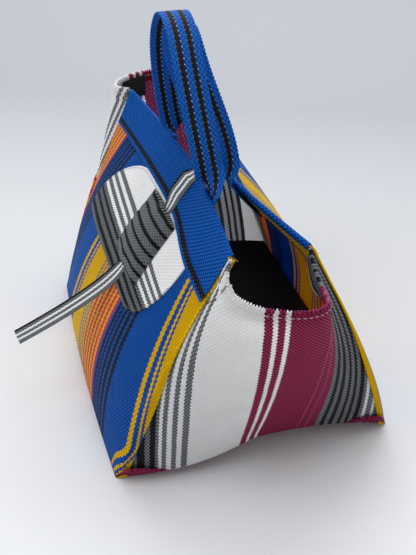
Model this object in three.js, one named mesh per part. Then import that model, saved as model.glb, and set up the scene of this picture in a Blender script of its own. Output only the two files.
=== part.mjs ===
// Woven tote bag: a tent-shaped carrier sewn from striped plastic mat, with two webbing handles and a strap
// that pulls the mouth shut. Millimetres, +Z up. The origin is the middle of the base, on the ground.
// +X is the near end of the bag, -Y its front.
import * as THREE from "three";

// Base and mouth
const BASE_LENGTH = 322;
const BASE_WIDTH = 258;
const BASE_FLAT_LENGTH = 190;
const BASE_END_LIFT = 16;
const BASE_LIFT_SKEW = 0.4;
const END_FOOT_BOW = 12;
const FRONT_FOOT_BOW = 5;
const TOP_LENGTH = 370;
const MOUTH_WIDTH = 73;
const BAG_HEIGHT = 224;

// Mat and the room left between sewn layers
const MAT_THICKNESS = 1.6;
const SEAM_GAP = 0.3;
const CORNER_GAP = 0.6;
const BASE_SEAM_GAP = 0.7;

// Walls: how far they belly out and how far the closure draws the mouth in
const WALL_BELLY = 20;
const SEAM_BELLY = 7;
const BELLY_FALL_POWER = 1.5;
const BELLY_END_POWER = 3;
const PINCH_X = 14;
const PINCH_POWER = 2;
const FRONT_PINCH = 15;
const FRONT_PINCH_CURVE = 1.6;
const BACK_PINCH = 36;
const BACK_PINCH_CURVE = 1.25;

// Gussets: the end walls open outwards as spouts
const SPOUT_WIDTH = 80;
const SPOUT_SEAM_COSINE = -1 / 3;
const SPOUT_OPEN_POWER = 1.35;
const RIM_DIP_POWER = 6;
const NEAR_SPOUT_REACH = 60;
const NEAR_SPOUT_SKEW = 10;
const NEAR_SPOUT_LEAN = 9;
const NEAR_RIM_DIP = 17;
const FAR_SPOUT_REACH = 64;
const FAR_SPOUT_SKEW = 2;
const FAR_SPOUT_LEAN = 13;
const FAR_RIM_DIP = 3;
const HEM_DEPTH = 11;

// Bands folded over the top edges
const BAND_THICKNESS = 1.2;
const BAND_OUTSIDE = 36;
const BAND_INSIDE = 17;
const BAND_END_INSET = 3;

// Handles
const WEBBING_WIDTH = 25;
const WEBBING_THICKNESS = 2;
const HANDLE_END_LENGTH = 34;
const HANDLE_ROOT_RISE = 8;
const HANDLE_FLEX_GAP = 0.4;
const HANDLE_TWIST_HEIGHT = 62;
const FRONT_HANDLE_HALF_SPACING = 67;
const FRONT_HANDLE_HEIGHT = 362;
const FRONT_HANDLE_CROWN_Y = -33;
const BACK_HANDLE_HALF_SPACING = 47;
const BACK_HANDLE_HEIGHT = 350;
const BACK_HANDLE_CROWN_Y = -27;

// Closure: a leaf sewn to the front, with a padded keeper over a strap that comes from the back
const LEAF_THICKNESS = 1.2;
const LEAF_NEAR_X = 126;
const LEAF_FAR_X = -133;
const LEAF_FAR_ROUND = 86;
const LEAF_NEAR_ROUND = 58;
const LEAF_FAR_ROUND_POWER = 1.6;
const LEAF_NEAR_ROUND_POWER = 2;
const LEAF_DEPTH = 85;
const LEAF_TIP_DEPTH = 4;
const LEAF_BAND_GAP = 1;
const STRAP_WIDTH = 14;
const STRAP_THICKNESS = 1.4;
const STRAP_SEWN_LENGTH = 12;
const STRAP_MOUTH_RISE = 5;
const STRAP_BACK_X = 20;
const STRAP_FRONT_X = 43;
const STRAP_SLANT = 0.13;
const KEEPER_WIDTH = 80;
const KEEPER_DEPTH = 60;
const KEEPER_X = 31;
const KEEPER_BAND_GAP = 4;
const KEEPER_EDGE = 1.6;
const KEEPER_PUFF = 7;
const KEEPER_TUNNEL_ROOM = 0.8;
const KEEPER_SHOULDER = 6;
const TAIL_EXIT = 3;
const TAIL_FLEX_GAP = 0.4;
const TAIL_STIFF_LENGTH = 34;
const TAIL_LIFT_OFF = 0.6;
const TAIL_TIP_X = 20;
const TAIL_TIP_Y = -196;
const TAIL_TIP_Z = 66;

// Floor insert and label
const INSERT_THICKNESS = 1.4;
const INSERT_ROOM = 7;
const INSERT_TURN_LENGTH = 36;
const INSERT_TURN_HEIGHT = 20;
const INSERT_TURN_TAPER = 0.6;
const LABEL_WIDTH = 36;
const LABEL_DEPTH = 26;
const LABEL_THICKNESS = 0.8;
const LABEL_SHARE = -0.3;
const LABEL_DROP = 3;

// Facets
const WALL_STEPS = 24;
const WALL_ROWS = 10;
const GUSSET_STEPS = 32;
const GUSSET_ROWS = 10;
const BAND_ROWS = 4;
const BASE_STEPS = 12;
const BASE_END_STEPS = 6;
const BASE_MIDDLE_STEPS = 4;
const HANDLE_STEPS = 44;
const LEAF_STEPS = 28;
const LEAF_ROWS = 5;
const STRAP_STEPS = 44;
const TAIL_STEPS = 14;
const KEEPER_ROWS = 8;
const LABEL_STEPS = 8;

const HALF_MAT = MAT_THICKNESS / 2;
const WALL_SLOPE = Math.hypot(BAG_HEIGHT, (BASE_WIDTH - MOUTH_WIDTH) / 2);
const WALL_LEAN = (BASE_WIDTH - MOUTH_WIDTH) / 2 / WALL_SLOPE;
const BELLY_LOW_SHARE = 1 / (1 + BELLY_FALL_POWER);
const BELLY_PEAK = BELLY_LOW_SHARE * (1 - BELLY_LOW_SHARE) ** BELLY_FALL_POWER;
const PINCH_REACH = TOP_LENGTH / 2 + PINCH_X;
const SPOUT_TURN = Math.acos(SPOUT_SEAM_COSINE);
const BAND_FACE = HALF_MAT + SEAM_GAP + BAND_THICKNESS;
const LEAF_FACE = HALF_MAT + SEAM_GAP + LEAF_THICKNESS;
const HEM_FACE = HALF_MAT + SEAM_GAP + MAT_THICKNESS;

const WALLS = {
  front: { y: -1, pinch: FRONT_PINCH, curve: FRONT_PINCH_CURVE, footBow: FRONT_FOOT_BOW },
  back: { y: 1, pinch: BACK_PINCH, curve: BACK_PINCH_CURVE, footBow: 0 },
};
const ENDS = {
  near: { x: 1, reach: NEAR_SPOUT_REACH, skew: NEAR_SPOUT_SKEW, lean: NEAR_SPOUT_LEAN, dip: NEAR_RIM_DIP },
  far: { x: -1, reach: FAR_SPOUT_REACH, skew: FAR_SPOUT_SKEW, lean: FAR_SPOUT_LEAN, dip: FAR_RIM_DIP },
};

const { lerp, clamp, smoothstep } = THREE.MathUtils;
const vec = (x, y, z) => new THREE.Vector3(x, y, z);

/** Whole numbers 0 to count as shares 0 to 1. */
function shares(count) {
  return Array.from({ length: count + 1 }, (_, i) => i / count);
}

/** Shares -1 to 1 in equal steps. */
function spread(count) {
  return shares(count).map((k) => 2 * k - 1);
}

/** Half the bag's length at share v of its height. */
function halfLength(v) {
  return lerp(BASE_LENGTH, TOP_LENGTH, v) / 2;
}

/** How far across the base y lies, from -1 at the front to 1 at the back. */
function baseAcross(y) {
  return clamp((2 * y) / BASE_WIDTH, -1, 1);
}

/** Height of the base's underside: flat in the middle, lifted at the middle of both ends. */
function baseHeight(x, y) {
  const ramp = (Math.abs(x) - BASE_FLAT_LENGTH / 2) / ((BASE_LENGTH - BASE_FLAT_LENGTH) / 2);
  const across = baseAcross(y);
  return BASE_END_LIFT * clamp(ramp, 0, 1) ** 2 * (1 - across ** 2) * (1 + BASE_LIFT_SKEW * across);
}

/** How far the foot of an end wall bows out at y. */
function endFootBow(y) {
  return END_FOOT_BOW * Math.max(0, -Math.sin(Math.PI * baseAcross(y)));
}

/** A point on the middle of the front or back wall, at x along it and share v of its height. */
function wallPoint(wall, x, v) {
  const left = Math.max(0, 1 - v);
  const along = clamp(x / halfLength(v), -1, 1);
  const fullness = (v * left ** BELLY_FALL_POWER) / BELLY_PEAK;
  const belly = fullness * lerp(WALL_BELLY, SEAM_BELLY, Math.abs(along) ** BELLY_END_POWER);
  const drawn = wall.pinch * Math.max(0, 1 - Math.abs((x - PINCH_X) / PINCH_REACH) ** wall.curve);
  const foot = wall.footBow * (1 - along ** 2) * left ** 2;
  const straight = lerp(BASE_WIDTH, MOUTH_WIDTH, v) / 2;
  const y = straight + foot + (belly * BAG_HEIGHT) / WALL_SLOPE - drawn * Math.max(0, v) ** PINCH_POWER;
  return vec(x, wall.y * y, BAG_HEIGHT * v + belly * WALL_LEAN);
}

/** A point on the middle of an end wall: t runs from the front seam (-1) to the back one (+1). */
function gussetPoint(end, t, v) {
  const front = wallPoint(WALLS.front, end.x * halfLength(v), v);
  const back = wallPoint(WALLS.back, end.x * halfLength(v), v);
  const left = Math.max(0, 1 - v);
  const chordY = lerp(front.y, back.y, (t + 1) / 2);
  const bow = (Math.cos(t * SPOUT_TURN) - SPOUT_SEAM_COSINE) / (1 - SPOUT_SEAM_COSINE);
  const open = 1 - left ** SPOUT_OPEN_POWER;
  const wide = (SPOUT_WIDTH / 2) * (Math.sin(t * SPOUT_TURN) - t * Math.sin(SPOUT_TURN));
  const sway = end.skew * bow - end.lean * 4 * bow * (1 - bow);
  const footY = (t * BASE_WIDTH) / 2;
  const x = end.x * (halfLength(v) + end.reach * bow * open + endFootBow(footY) * left ** 2);
  const dip = end.dip * (1 - t ** RIM_DIP_POWER) * v;
  const foot = baseHeight(end.x * (BASE_LENGTH / 2), footY) * left;
  return vec(x, chordY + (wide + sway) * open, front.z - dip + foot);
}

/** Moves a point of a surface along its outward normal. */
function offsetPoint(surface, a, b, outwards, distance) {
  const step = 1e-3;
  const point = surface(a, b);
  const alongA = surface(a + step, b).sub(surface(a - step, b));
  const alongB = surface(a, b + step).sub(surface(a, b - step));
  const normal = alongA.cross(alongB).normalize();
  if (normal.dot(outwards) < 0) {
    normal.negate();
  }
  return point.addScaledVector(normal, distance);
}

/** Share of the height at drop millimetres of slope below the top edge. */
function shareAt(drop) {
  return 1 - drop / WALL_SLOPE;
}

/** A point at x on a wall, drop millimetres below its top edge, and distance outside its middle. */
function onWall(wall, x, drop, distance) {
  const surface = (a, v) => wallPoint(wall, (a * TOP_LENGTH) / 2, v);
  return offsetPoint(surface, (2 * x) / TOP_LENGTH, shareAt(drop), vec(0, wall.y, 0), distance);
}

/** A point on an end wall, drop millimetres below its rim, and distance outside its middle. */
function onGusset(end, t, drop, distance) {
  const surface = (a, v) => gussetPoint(end, a, v);
  return offsetPoint(surface, t, shareAt(drop), vec(end.x, 0, 0), distance);
}

/** Indexed geometry whose faces point outwards. */
function facingOut(points, index) {
  let volume = 0;
  for (let i = 0; i < index.length; i += 3) {
    const [a, b, c] = [points[index[i]], points[index[i + 1]], points[index[i + 2]]];
    volume += a.dot(b.clone().cross(c));
  }
  const ordered = volume < 0 ? [...index].reverse() : index;
  const geometry = new THREE.BufferGeometry().setFromPoints(points);
  geometry.setIndex(ordered);
  geometry.computeVertexNormals();
  return geometry;
}

/** A closed solid between two grids of points of the same size. */
function closedSheet(outer, inner) {
  const columns = outer.length;
  const rows = outer[0].length;
  const points = [...outer.flat(), ...inner.flat()];
  const index = [];
  const at = (side, i, j) => side * columns * rows + i * rows + j;
  const quad = (a, b, c, d) => index.push(a, b, c, a, c, d);
  for (let i = 0; i + 1 < columns; i++) {
    for (let j = 0; j + 1 < rows; j++) {
      quad(at(0, i, j), at(0, i + 1, j), at(0, i + 1, j + 1), at(0, i, j + 1));
      quad(at(1, i, j), at(1, i, j + 1), at(1, i + 1, j + 1), at(1, i + 1, j));
    }
  }
  for (let i = 0; i + 1 < columns; i++) {
    quad(at(0, i, 0), at(1, i, 0), at(1, i + 1, 0), at(0, i + 1, 0));
    quad(at(0, i, rows - 1), at(0, i + 1, rows - 1), at(1, i + 1, rows - 1), at(1, i, rows - 1));
  }
  for (let j = 0; j + 1 < rows; j++) {
    quad(at(0, 0, j), at(0, 0, j + 1), at(1, 0, j + 1), at(1, 0, j));
    quad(at(0, columns - 1, j), at(1, columns - 1, j), at(1, columns - 1, j + 1), at(0, columns - 1, j + 1));
  }
  return facingOut(points, index);
}

/** A sheet laid on a surface by its profile: lists of [drop, distance] for its outer and inner face. */
function profiledSheet(place, stations, outerProfile, innerProfile) {
  const face = (profile) => stations.map((a) => profile(a).map(([drop, distance]) => place(a, drop, distance)));
  return closedSheet(face(outerProfile), face(innerProfile));
}

/** Drops from one depth to another in equal steps, each with the same distance. */
function run(from, to, count, distance) {
  return shares(count).map((k) => [lerp(from, to, k), distance]);
}

/** A flat strap through a list of stations, each with its middle and its unit width and thickness directions. */
function strapSolid(stations, width, thickness) {
  const corner = ({ middle, wide, thick }, edge, side) =>
    middle
      .clone()
      .addScaledVector(wide, (edge * width) / 2)
      .addScaledVector(thick, (side * thickness) / 2);
  const face = (side) => stations.map((station) => [-1, 1].map((edge) => corner(station, edge, side)));
  return closedSheet(face(1), face(-1));
}

/** A strap's station at a point: its width is turned square to the way the strap runs. */
function strapStation(middle, tangent, across) {
  const wide = across.clone().addScaledVector(tangent, -across.dot(tangent)).normalize();
  return { middle, wide, thick: wide.clone().cross(tangent).normalize() };
}

const bag = new THREE.Group();

/** Adds one sewn piece to the bag. */
function addPiece(name, geometry, color, roughness) {
  const mesh = new THREE.Mesh(geometry, new THREE.MeshStandardMaterial({ color, roughness, metalness: 0 }));
  mesh.name = name;
  bag.add(mesh);
}

const BLUE = 0x1556ae;
const WHITE = 0xe8e9ec;
const MAROON = 0x6e1a38;
const GREY = 0x6e7174;
const BLACK = 0x1c1c1e;
const MAT_ROUGHNESS = 0.55;
const CLOTH_ROUGHNESS = 0.9;

// Base: a mat that reaches the outer faces of the walls
function baseGeometry() {
  const flat = BASE_FLAT_LENGTH / BASE_LENGTH;
  const end = shares(BASE_END_STEPS).map((k) => lerp(flat, 1, k));
  const middle = spread(BASE_MIDDLE_STEPS).map((s) => s * flat);
  const stations = [...end.map((s) => -s).reverse(), ...middle.slice(1, -1), ...end];
  const point = (along, across, lift) => {
    const bow = FRONT_FOOT_BOW * (1 - along ** 2) * Math.max(0, -across);
    const y = across * (BASE_WIDTH / 2 + HALF_MAT) - bow;
    const x = along * (BASE_LENGTH / 2 + HALF_MAT + endFootBow(y));
    return vec(x, y, baseHeight(along * (BASE_LENGTH / 2), y) + lift);
  };
  const face = (lift) => stations.map((s) => spread(BASE_STEPS).map((a) => point(s, a, lift)));
  return closedSheet(face(MAT_THICKNESS), face(0));
}
addPiece("base_panel", baseGeometry(), MAROON, MAT_ROUGHNESS);

// Front and back walls: they stand on the base and run out to the seam lines
const WALL_FOOT = WALL_SLOPE * (1 - (MAT_THICKNESS + BASE_SEAM_GAP) / BAG_HEIGHT);

function wallGeometry(wall) {
  const place = (share, drop, distance) => onWall(wall, share * halfLength(shareAt(drop)), drop, distance);
  const face = (distance) => () => [
    ...run(0, BAND_OUTSIDE, BAND_ROWS, distance),
    ...run(BAND_OUTSIDE, WALL_FOOT, WALL_ROWS, distance).slice(1),
  ];
  return profiledSheet(place, spread(WALL_STEPS), face(HALF_MAT), face(-HALF_MAT));
}
addPiece("front_panel", wallGeometry(WALLS.front), BLUE, MAT_ROUGHNESS);
addPiece("back_panel", wallGeometry(WALLS.back), BLUE, MAT_ROUGHNESS);

// End walls: each folds in at its rim to a hem
function seamShare(end, side, v) {
  const step = 0.01;
  const edge = gussetPoint(end, side, v);
  const length = edge.distanceTo(gussetPoint(end, side * (1 - step), v)) / step;
  return 1 - (HALF_MAT + CORNER_GAP) / length;
}

function gussetGeometry(end) {
  const place = (share, drop, distance) => {
    const t = share * seamShare(end, share < 0 ? -1 : 1, shareAt(drop));
    return onGusset(end, t, drop, distance);
  };
  const outer = () => [...run(WALL_FOOT, 0, GUSSET_ROWS, HALF_MAT), ...run(0, HEM_DEPTH, 1, -HEM_FACE)];
  const inner = () => [
    ...run(WALL_FOOT, MAT_THICKNESS, GUSSET_ROWS, -HALF_MAT),
    ...run(MAT_THICKNESS, HEM_DEPTH, 1, MAT_THICKNESS - HEM_FACE),
  ];
  return profiledSheet(place, spread(GUSSET_STEPS), outer, inner);
}
addPiece("near_gusset", gussetGeometry(ENDS.near), WHITE, MAT_ROUGHNESS);
addPiece("far_gusset", gussetGeometry(ENDS.far), WHITE, MAT_ROUGHNESS);

// Bands folded over the top edges of the front and back walls
function bandGeometry(wall) {
  const place = (share, drop, distance) =>
    onWall(wall, share * (halfLength(shareAt(drop)) - BAND_END_INSET), drop, distance);
  const wrap = (distance, over) => () => [
    ...run(BAND_OUTSIDE, 0, BAND_ROWS, distance),
    [-over, distance],
    [-over, -distance],
    ...run(0, BAND_INSIDE, BAND_ROWS, -distance),
  ];
  const outer = wrap(BAND_FACE, SEAM_GAP + BAND_THICKNESS);
  const inner = wrap(HALF_MAT + SEAM_GAP, SEAM_GAP);
  return profiledSheet(place, spread(WALL_STEPS), outer, inner);
}
addPiece("front_band", bandGeometry(WALLS.front), BLUE, MAT_ROUGHNESS);
addPiece("back_band", bandGeometry(WALLS.back), BLUE, MAT_ROUGHNESS);

// Handles: the sewn ends lie inside the bands, and the loops flex where they leave them
const HANDLE_DEPTH = BAND_FACE + SEAM_GAP + WEBBING_THICKNESS / 2;

function handleEnd(wall, x) {
  const place = (share, drop, distance) => onWall(wall, x + (share * WEBBING_WIDTH) / 2, drop, distance);
  const face = (side) => () =>
    run(HANDLE_END_LENGTH, -HANDLE_ROOT_RISE, BAND_ROWS, -HANDLE_DEPTH + (side * WEBBING_THICKNESS) / 2);
  return profiledSheet(place, spread(2), face(1), face(-1));
}

/** The outer edge of a sewn end's top, where the loop folds over. */
function handleHinge(wall, halfSpacing) {
  const drop = -HANDLE_ROOT_RISE - HANDLE_FLEX_GAP / 2;
  return onWall(wall, PINCH_X + halfSpacing, drop, -HANDLE_DEPTH + WEBBING_THICKNESS / 2);
}

function handleLoop(wall, halfSpacing, height, crownY) {
  const hinge = handleHinge(wall, halfSpacing);
  const root = hinge.clone().setY(hinge.y - (wall.y * WEBBING_THICKNESS) / 2);
  const foot = root.z + HANDLE_FLEX_GAP / 2;
  const rise = height - WEBBING_THICKNESS / 2 - foot;
  const points = shares(HANDLE_STEPS).map((k) => {
    const up = Math.sin(Math.PI * k);
    const x = PINCH_X - (root.x - PINCH_X) * Math.cos(Math.PI * k);
    return vec(x, lerp(root.y, crownY, smoothstep(up, 0, 1)), foot + rise * up);
  });
  const curve = new THREE.CatmullRomCurve3(points);
  const stations = shares(HANDLE_STEPS).map((k) => {
    const middle = curve.getPointAt(k);
    const twist = (Math.PI / 2) * smoothstep(middle.z - foot, 0, HANDLE_TWIST_HEIGHT);
    const across = vec(Math.cos(twist) * Math.sign(middle.x - PINCH_X), Math.sin(twist), 0);
    return strapStation(middle, curve.getTangentAt(k), across);
  });
  return strapSolid(stations, WEBBING_WIDTH, WEBBING_THICKNESS);
}

const HANDLES = {
  front_handle: [WALLS.front, FRONT_HANDLE_HALF_SPACING, FRONT_HANDLE_HEIGHT, FRONT_HANDLE_CROWN_Y],
  back_handle: [WALLS.back, BACK_HANDLE_HALF_SPACING, BACK_HANDLE_HEIGHT, BACK_HANDLE_CROWN_Y],
};
for (const [name, [wall, halfSpacing, height, crownY]] of Object.entries(HANDLES)) {
  addPiece(name, handleLoop(wall, halfSpacing, height, crownY), BLUE, CLOTH_ROUGHNESS);
  addPiece(`${name}_near_end`, handleEnd(wall, PINCH_X + halfSpacing), BLUE, CLOTH_ROUGHNESS);
  addPiece(`${name}_far_end`, handleEnd(wall, PINCH_X - halfSpacing), BLUE, CLOTH_ROUGHNESS);
}

// Closure leaf: two of its corners are rounded, the other two come to a point
const LEAF_TOP = BAND_OUTSIDE + LEAF_BAND_GAP;
const LEAF_BOTTOM = LEAF_TOP + LEAF_DEPTH;

/** Share of the leaf's depth that a rounded corner takes, at share u of the corner's length. */
function cornerCut(u, power) {
  return 1 - (1 - clamp(u, 0, 1) ** power) ** (1 / power);
}

function leafGeometry() {
  const length = LEAF_NEAR_X - LEAF_FAR_X;
  const depth = LEAF_DEPTH - LEAF_TIP_DEPTH;
  const place = (x, drop, distance) => onWall(WALLS.front, x, drop, distance);
  const stations = spread(LEAF_STEPS).map((s) => LEAF_FAR_X + (length * (1 + Math.sin((s * Math.PI) / 2))) / 2);
  const face = (distance) => (x) => {
    const farCut = cornerCut((LEAF_FAR_X + LEAF_FAR_ROUND - x) / LEAF_FAR_ROUND, LEAF_FAR_ROUND_POWER);
    const nearCut = cornerCut((x - LEAF_NEAR_X + LEAF_NEAR_ROUND) / LEAF_NEAR_ROUND, LEAF_NEAR_ROUND_POWER);
    return run(LEAF_TOP + depth * farCut, LEAF_BOTTOM - depth * nearCut, LEAF_ROWS, distance);
  };
  return profiledSheet(place, stations, face(LEAF_FACE), face(HALF_MAT + SEAM_GAP));
}
addPiece("closure_leaf", leafGeometry(), WHITE, MAT_ROUGHNESS);

// Closure strap: sewn inside the back band, over the mouth, down the front and under the keeper
const STRAP_LEVEL = Math.max(BAND_FACE, LEAF_FACE) + SEAM_GAP + STRAP_THICKNESS / 2;
const KEEPER_TOP = BAND_OUTSIDE + KEEPER_BAND_GAP;
const KEEPER_BOTTOM = KEEPER_TOP + KEEPER_DEPTH;
const STRAP_END = KEEPER_BOTTOM + TAIL_EXIT;

/** Where the strap's middle runs along the front, at each drop. */
function strapX(drop) {
  return STRAP_FRONT_X - STRAP_SLANT * Math.max(0, drop);
}

function strapGeometry() {
  const rise = STRAP_MOUTH_RISE;
  const quarter = (STRAP_FRONT_X - STRAP_BACK_X) / 4;
  const overMouth = [
    [WALLS.back, STRAP_BACK_X, STRAP_SEWN_LENGTH, -STRAP_LEVEL],
    [WALLS.back, STRAP_BACK_X, STRAP_SEWN_LENGTH / 2, -STRAP_LEVEL],
    [WALLS.back, STRAP_BACK_X, 0, -STRAP_LEVEL - 2 * SEAM_GAP],
    [WALLS.back, STRAP_BACK_X + quarter, -rise, -3 * STRAP_LEVEL],
    [WALLS.front, STRAP_FRONT_X - quarter, -rise, -2 * STRAP_LEVEL],
    [WALLS.front, STRAP_FRONT_X, -rise, 0],
    [WALLS.front, STRAP_FRONT_X, -rise / 2, STRAP_LEVEL],
  ];
  const downFront = run(rise / 2, STRAP_END, WALL_ROWS, STRAP_LEVEL);
  const path = [...overMouth, ...downFront.map(([drop, level]) => [WALLS.front, strapX(drop), drop, level])];
  const edgeCurve = (edge) => {
    const points = path.map(([wall, x, drop, level]) => onWall(wall, x + (edge * STRAP_WIDTH) / 2, drop, level));
    return new THREE.CatmullRomCurve3(points);
  };
  const [farEdge, middle, nearEdge] = [-1, 0, 1].map(edgeCurve);
  const stations = shares(STRAP_STEPS).map((k) => {
    const across = nearEdge.getPoint(k).sub(farEdge.getPoint(k));
    return strapStation(middle.getPoint(k), middle.getTangent(k), across);
  });
  return strapSolid(stations, STRAP_WIDTH, STRAP_THICKNESS);
}
addPiece("closure_strap", strapGeometry(), GREY, MAT_ROUGHNESS);

// Keeper: a padded loop whose sides are sewn to the leaf
function keeperGeometry() {
  const tunnel = STRAP_WIDTH / 2 + KEEPER_TUNNEL_ROOM;
  const side = KEEPER_WIDTH / 2;
  const reaches = [side, (side + tunnel + KEEPER_SHOULDER) / 2, tunnel + KEEPER_SHOULDER, tunnel, tunnel / 2];
  const stations = [...reaches.map((r) => -r), 0, ...reaches.toReversed()];
  const place = (reach, drop, distance) => {
    const shift = strapX(drop) - KEEPER_X;
    const spare = clamp((side - Math.abs(reach)) / (side - tunnel - KEEPER_SHOULDER), 0, 1);
    return onWall(WALLS.front, KEEPER_X + reach + shift * spare, drop, distance);
  };
  const floor = LEAF_FACE + SEAM_GAP;
  const roof = STRAP_LEVEL + STRAP_THICKNESS / 2 + SEAM_GAP;
  const inner = (reach) =>
    run(KEEPER_TOP, KEEPER_BOTTOM, KEEPER_ROWS, Math.abs(reach) > tunnel + KEEPER_SHOULDER / 2 ? floor : roof);
  const outer = (reach) =>
    spread(KEEPER_ROWS).map((w) => {
      const puff = KEEPER_PUFF * (1 - (reach / side) ** 2) * (1 - w ** 2);
      return [lerp(KEEPER_TOP, KEEPER_BOTTOM, (w + 1) / 2), roof + KEEPER_EDGE + puff];
    });
  return profiledSheet(place, stations, outer, inner);
}
addPiece("strap_keeper", keeperGeometry(), GREY, MAT_ROUGHNESS);

// Strap tail: the loose end below the keeper
function tailGeometry() {
  const startDrop = STRAP_END + TAIL_FLEX_GAP;
  const level = STRAP_LEVEL + TAIL_LIFT_OFF;
  const start = onWall(WALLS.front, strapX(startDrop), startDrop, level);
  const below = onWall(WALLS.front, strapX(startDrop + 1), startDrop + 1, level);
  const guide = start.clone().addScaledVector(below.sub(start).normalize(), TAIL_STIFF_LENGTH);
  const curve = new THREE.QuadraticBezierCurve3(start, guide, vec(TAIL_TIP_X, TAIL_TIP_Y, TAIL_TIP_Z));
  const stations = shares(TAIL_STEPS).map((k) =>
    strapStation(curve.getPointAt(k), curve.getTangentAt(k), vec(1, 0, 0)),
  );
  return strapSolid(stations, STRAP_WIDTH, STRAP_THICKNESS);
}
addPiece("strap_tail", tailGeometry(), GREY, MAT_ROUGHNESS);

// Floor insert: a black sheet on the base, turned up at both ends
function insertGeometry() {
  const halfX = BASE_LENGTH / 2 - INSERT_ROOM;
  const turnX = halfX - INSERT_TURN_LENGTH;
  const end = shares(BASE_END_STEPS).map((k) => lerp(turnX, halfX, k));
  const middle = spread(BASE_END_STEPS).map((s) => s * turnX);
  const stations = [...end.map((x) => -x).reverse(), ...middle.slice(1, -1), ...end];
  const under = MAT_THICKNESS + SEAM_GAP;
  const face = (lift) =>
    stations.map((x) => {
      const turn = INSERT_TURN_HEIGHT * (Math.max(0, Math.abs(x) - turnX) / INSERT_TURN_LENGTH) ** 2;
      const halfY = BASE_WIDTH / 2 - INSERT_ROOM - INSERT_TURN_TAPER * turn;
      return spread(BASE_STEPS).map((a) => vec(x, a * halfY, baseHeight(x, a * halfY) + under + turn + lift));
    });
  return closedSheet(face(INSERT_THICKNESS), face(0));
}
addPiece("floor_insert", insertGeometry(), BLACK, CLOTH_ROUGHNESS);

// Label: sewn to the hem inside the far rim, left plain
function labelGeometry() {
  const end = ENDS.far;
  const step = 0.01;
  const v = shareAt(LABEL_DROP);
  const side = (t) => gussetPoint(end, t, v);
  const perShare = side(LABEL_SHARE + step).distanceTo(side(LABEL_SHARE - step)) / (2 * step);
  const place = (s, drop, distance) => onGusset(end, LABEL_SHARE + (s * LABEL_WIDTH) / 2 / perShare, drop, distance);
  const face = (distance) => () => run(LABEL_DROP, LABEL_DROP + LABEL_DEPTH, BAND_ROWS, distance);
  const back = -HEM_FACE - SEAM_GAP;
  return profiledSheet(place, spread(LABEL_STEPS), face(back), face(back - LABEL_THICKNESS));
}
addPiece("label_patch", labelGeometry(), BLACK, CLOTH_ROUGHNESS);

export default bag;
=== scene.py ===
"""Looks of the woven tote bag: sewn mats, bands, webbing handles and the strap closure."""

import logging
import math
from collections.abc import Callable
from dataclasses import dataclass, replace
from enum import Enum

import bpy
import numpy as np
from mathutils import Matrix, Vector


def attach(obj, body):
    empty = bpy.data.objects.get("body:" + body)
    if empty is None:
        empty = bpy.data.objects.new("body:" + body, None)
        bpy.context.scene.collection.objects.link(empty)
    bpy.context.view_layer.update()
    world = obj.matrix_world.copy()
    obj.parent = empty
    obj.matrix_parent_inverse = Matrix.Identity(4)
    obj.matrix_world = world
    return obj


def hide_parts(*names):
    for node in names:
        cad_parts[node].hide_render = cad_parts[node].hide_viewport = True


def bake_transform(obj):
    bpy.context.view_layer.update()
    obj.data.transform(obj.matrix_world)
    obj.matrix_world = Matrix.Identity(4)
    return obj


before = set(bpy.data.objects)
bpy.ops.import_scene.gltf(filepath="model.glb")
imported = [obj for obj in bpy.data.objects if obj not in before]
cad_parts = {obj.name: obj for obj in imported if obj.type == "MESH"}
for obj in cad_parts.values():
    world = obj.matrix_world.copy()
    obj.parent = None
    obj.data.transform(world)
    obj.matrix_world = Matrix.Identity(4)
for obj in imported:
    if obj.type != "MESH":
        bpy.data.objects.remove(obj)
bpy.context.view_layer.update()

LOG = logging.getLogger("tote_bag")
MM = 0.001
CLOTH = "cloth"
# A ramp is read in coarse steps, so a short one keeps the edges of its stripes sharp
STRIPES_PER_RAMP = 10
# Most of a noise texture lies between these values
NOISE_SPAN = (0.3, 0.7)

Colour = tuple[float, float, float, float]
Points = np.ndarray
Material = bpy.types.Material
Tree = bpy.types.NodeTree
Socket = bpy.types.NodeSocket
Piece = bpy.types.Object


class Yarn(Enum):
    """Colours of the plastic yarn and the threads, as sRGB hex values."""

    BLUE = "#02489A"
    ROYAL = "#0E62C4"
    YELLOW = "#DDA200"
    BLACK = "#17171A"
    GREY = "#686C70"
    WHITE = "#F3F4F5"
    MAROON = "#7A1B3E"
    RED = "#CB2350"
    BEIGE = "#D8CDB8"
    DEEP_BLUE = "#0F3F8C"
    # A lighter copy of the grey yarn, not a yarn of its own: painted light on the inside of the far end wall
    PALE_GREY = "#A4A6AA"
    ROSE = "#A0496B"


class Side(Enum):
    """The two long walls, by the way they face along Y."""

    FRONT = -1
    BACK = 1


class End(Enum):
    """The two end walls, by the way they face along X."""

    NEAR = 1
    FAR = -1


class StripeRun(Enum):
    """Which of the two directions on the flat cloth the stripes are counted along."""

    ACROSS = "X"
    DOWN = "Y"


def to_linear(hex_colour: str) -> Colour:
    """Turns an sRGB hex value to linear light.

    Args:
        hex_colour: a value such as "#1450A6".

    Returns:
        Red, green, blue and alpha for a shader socket.
    """
    parts = [int(hex_colour[i:i + 2], 16) / 255 for i in (1, 3, 5)]
    linear = [p / 12.92 if p <= 0.04045 else ((p + 0.055) / 1.055) ** 2.4 for p in parts]
    return (linear[0], linear[1], linear[2], 1.0)


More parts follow.
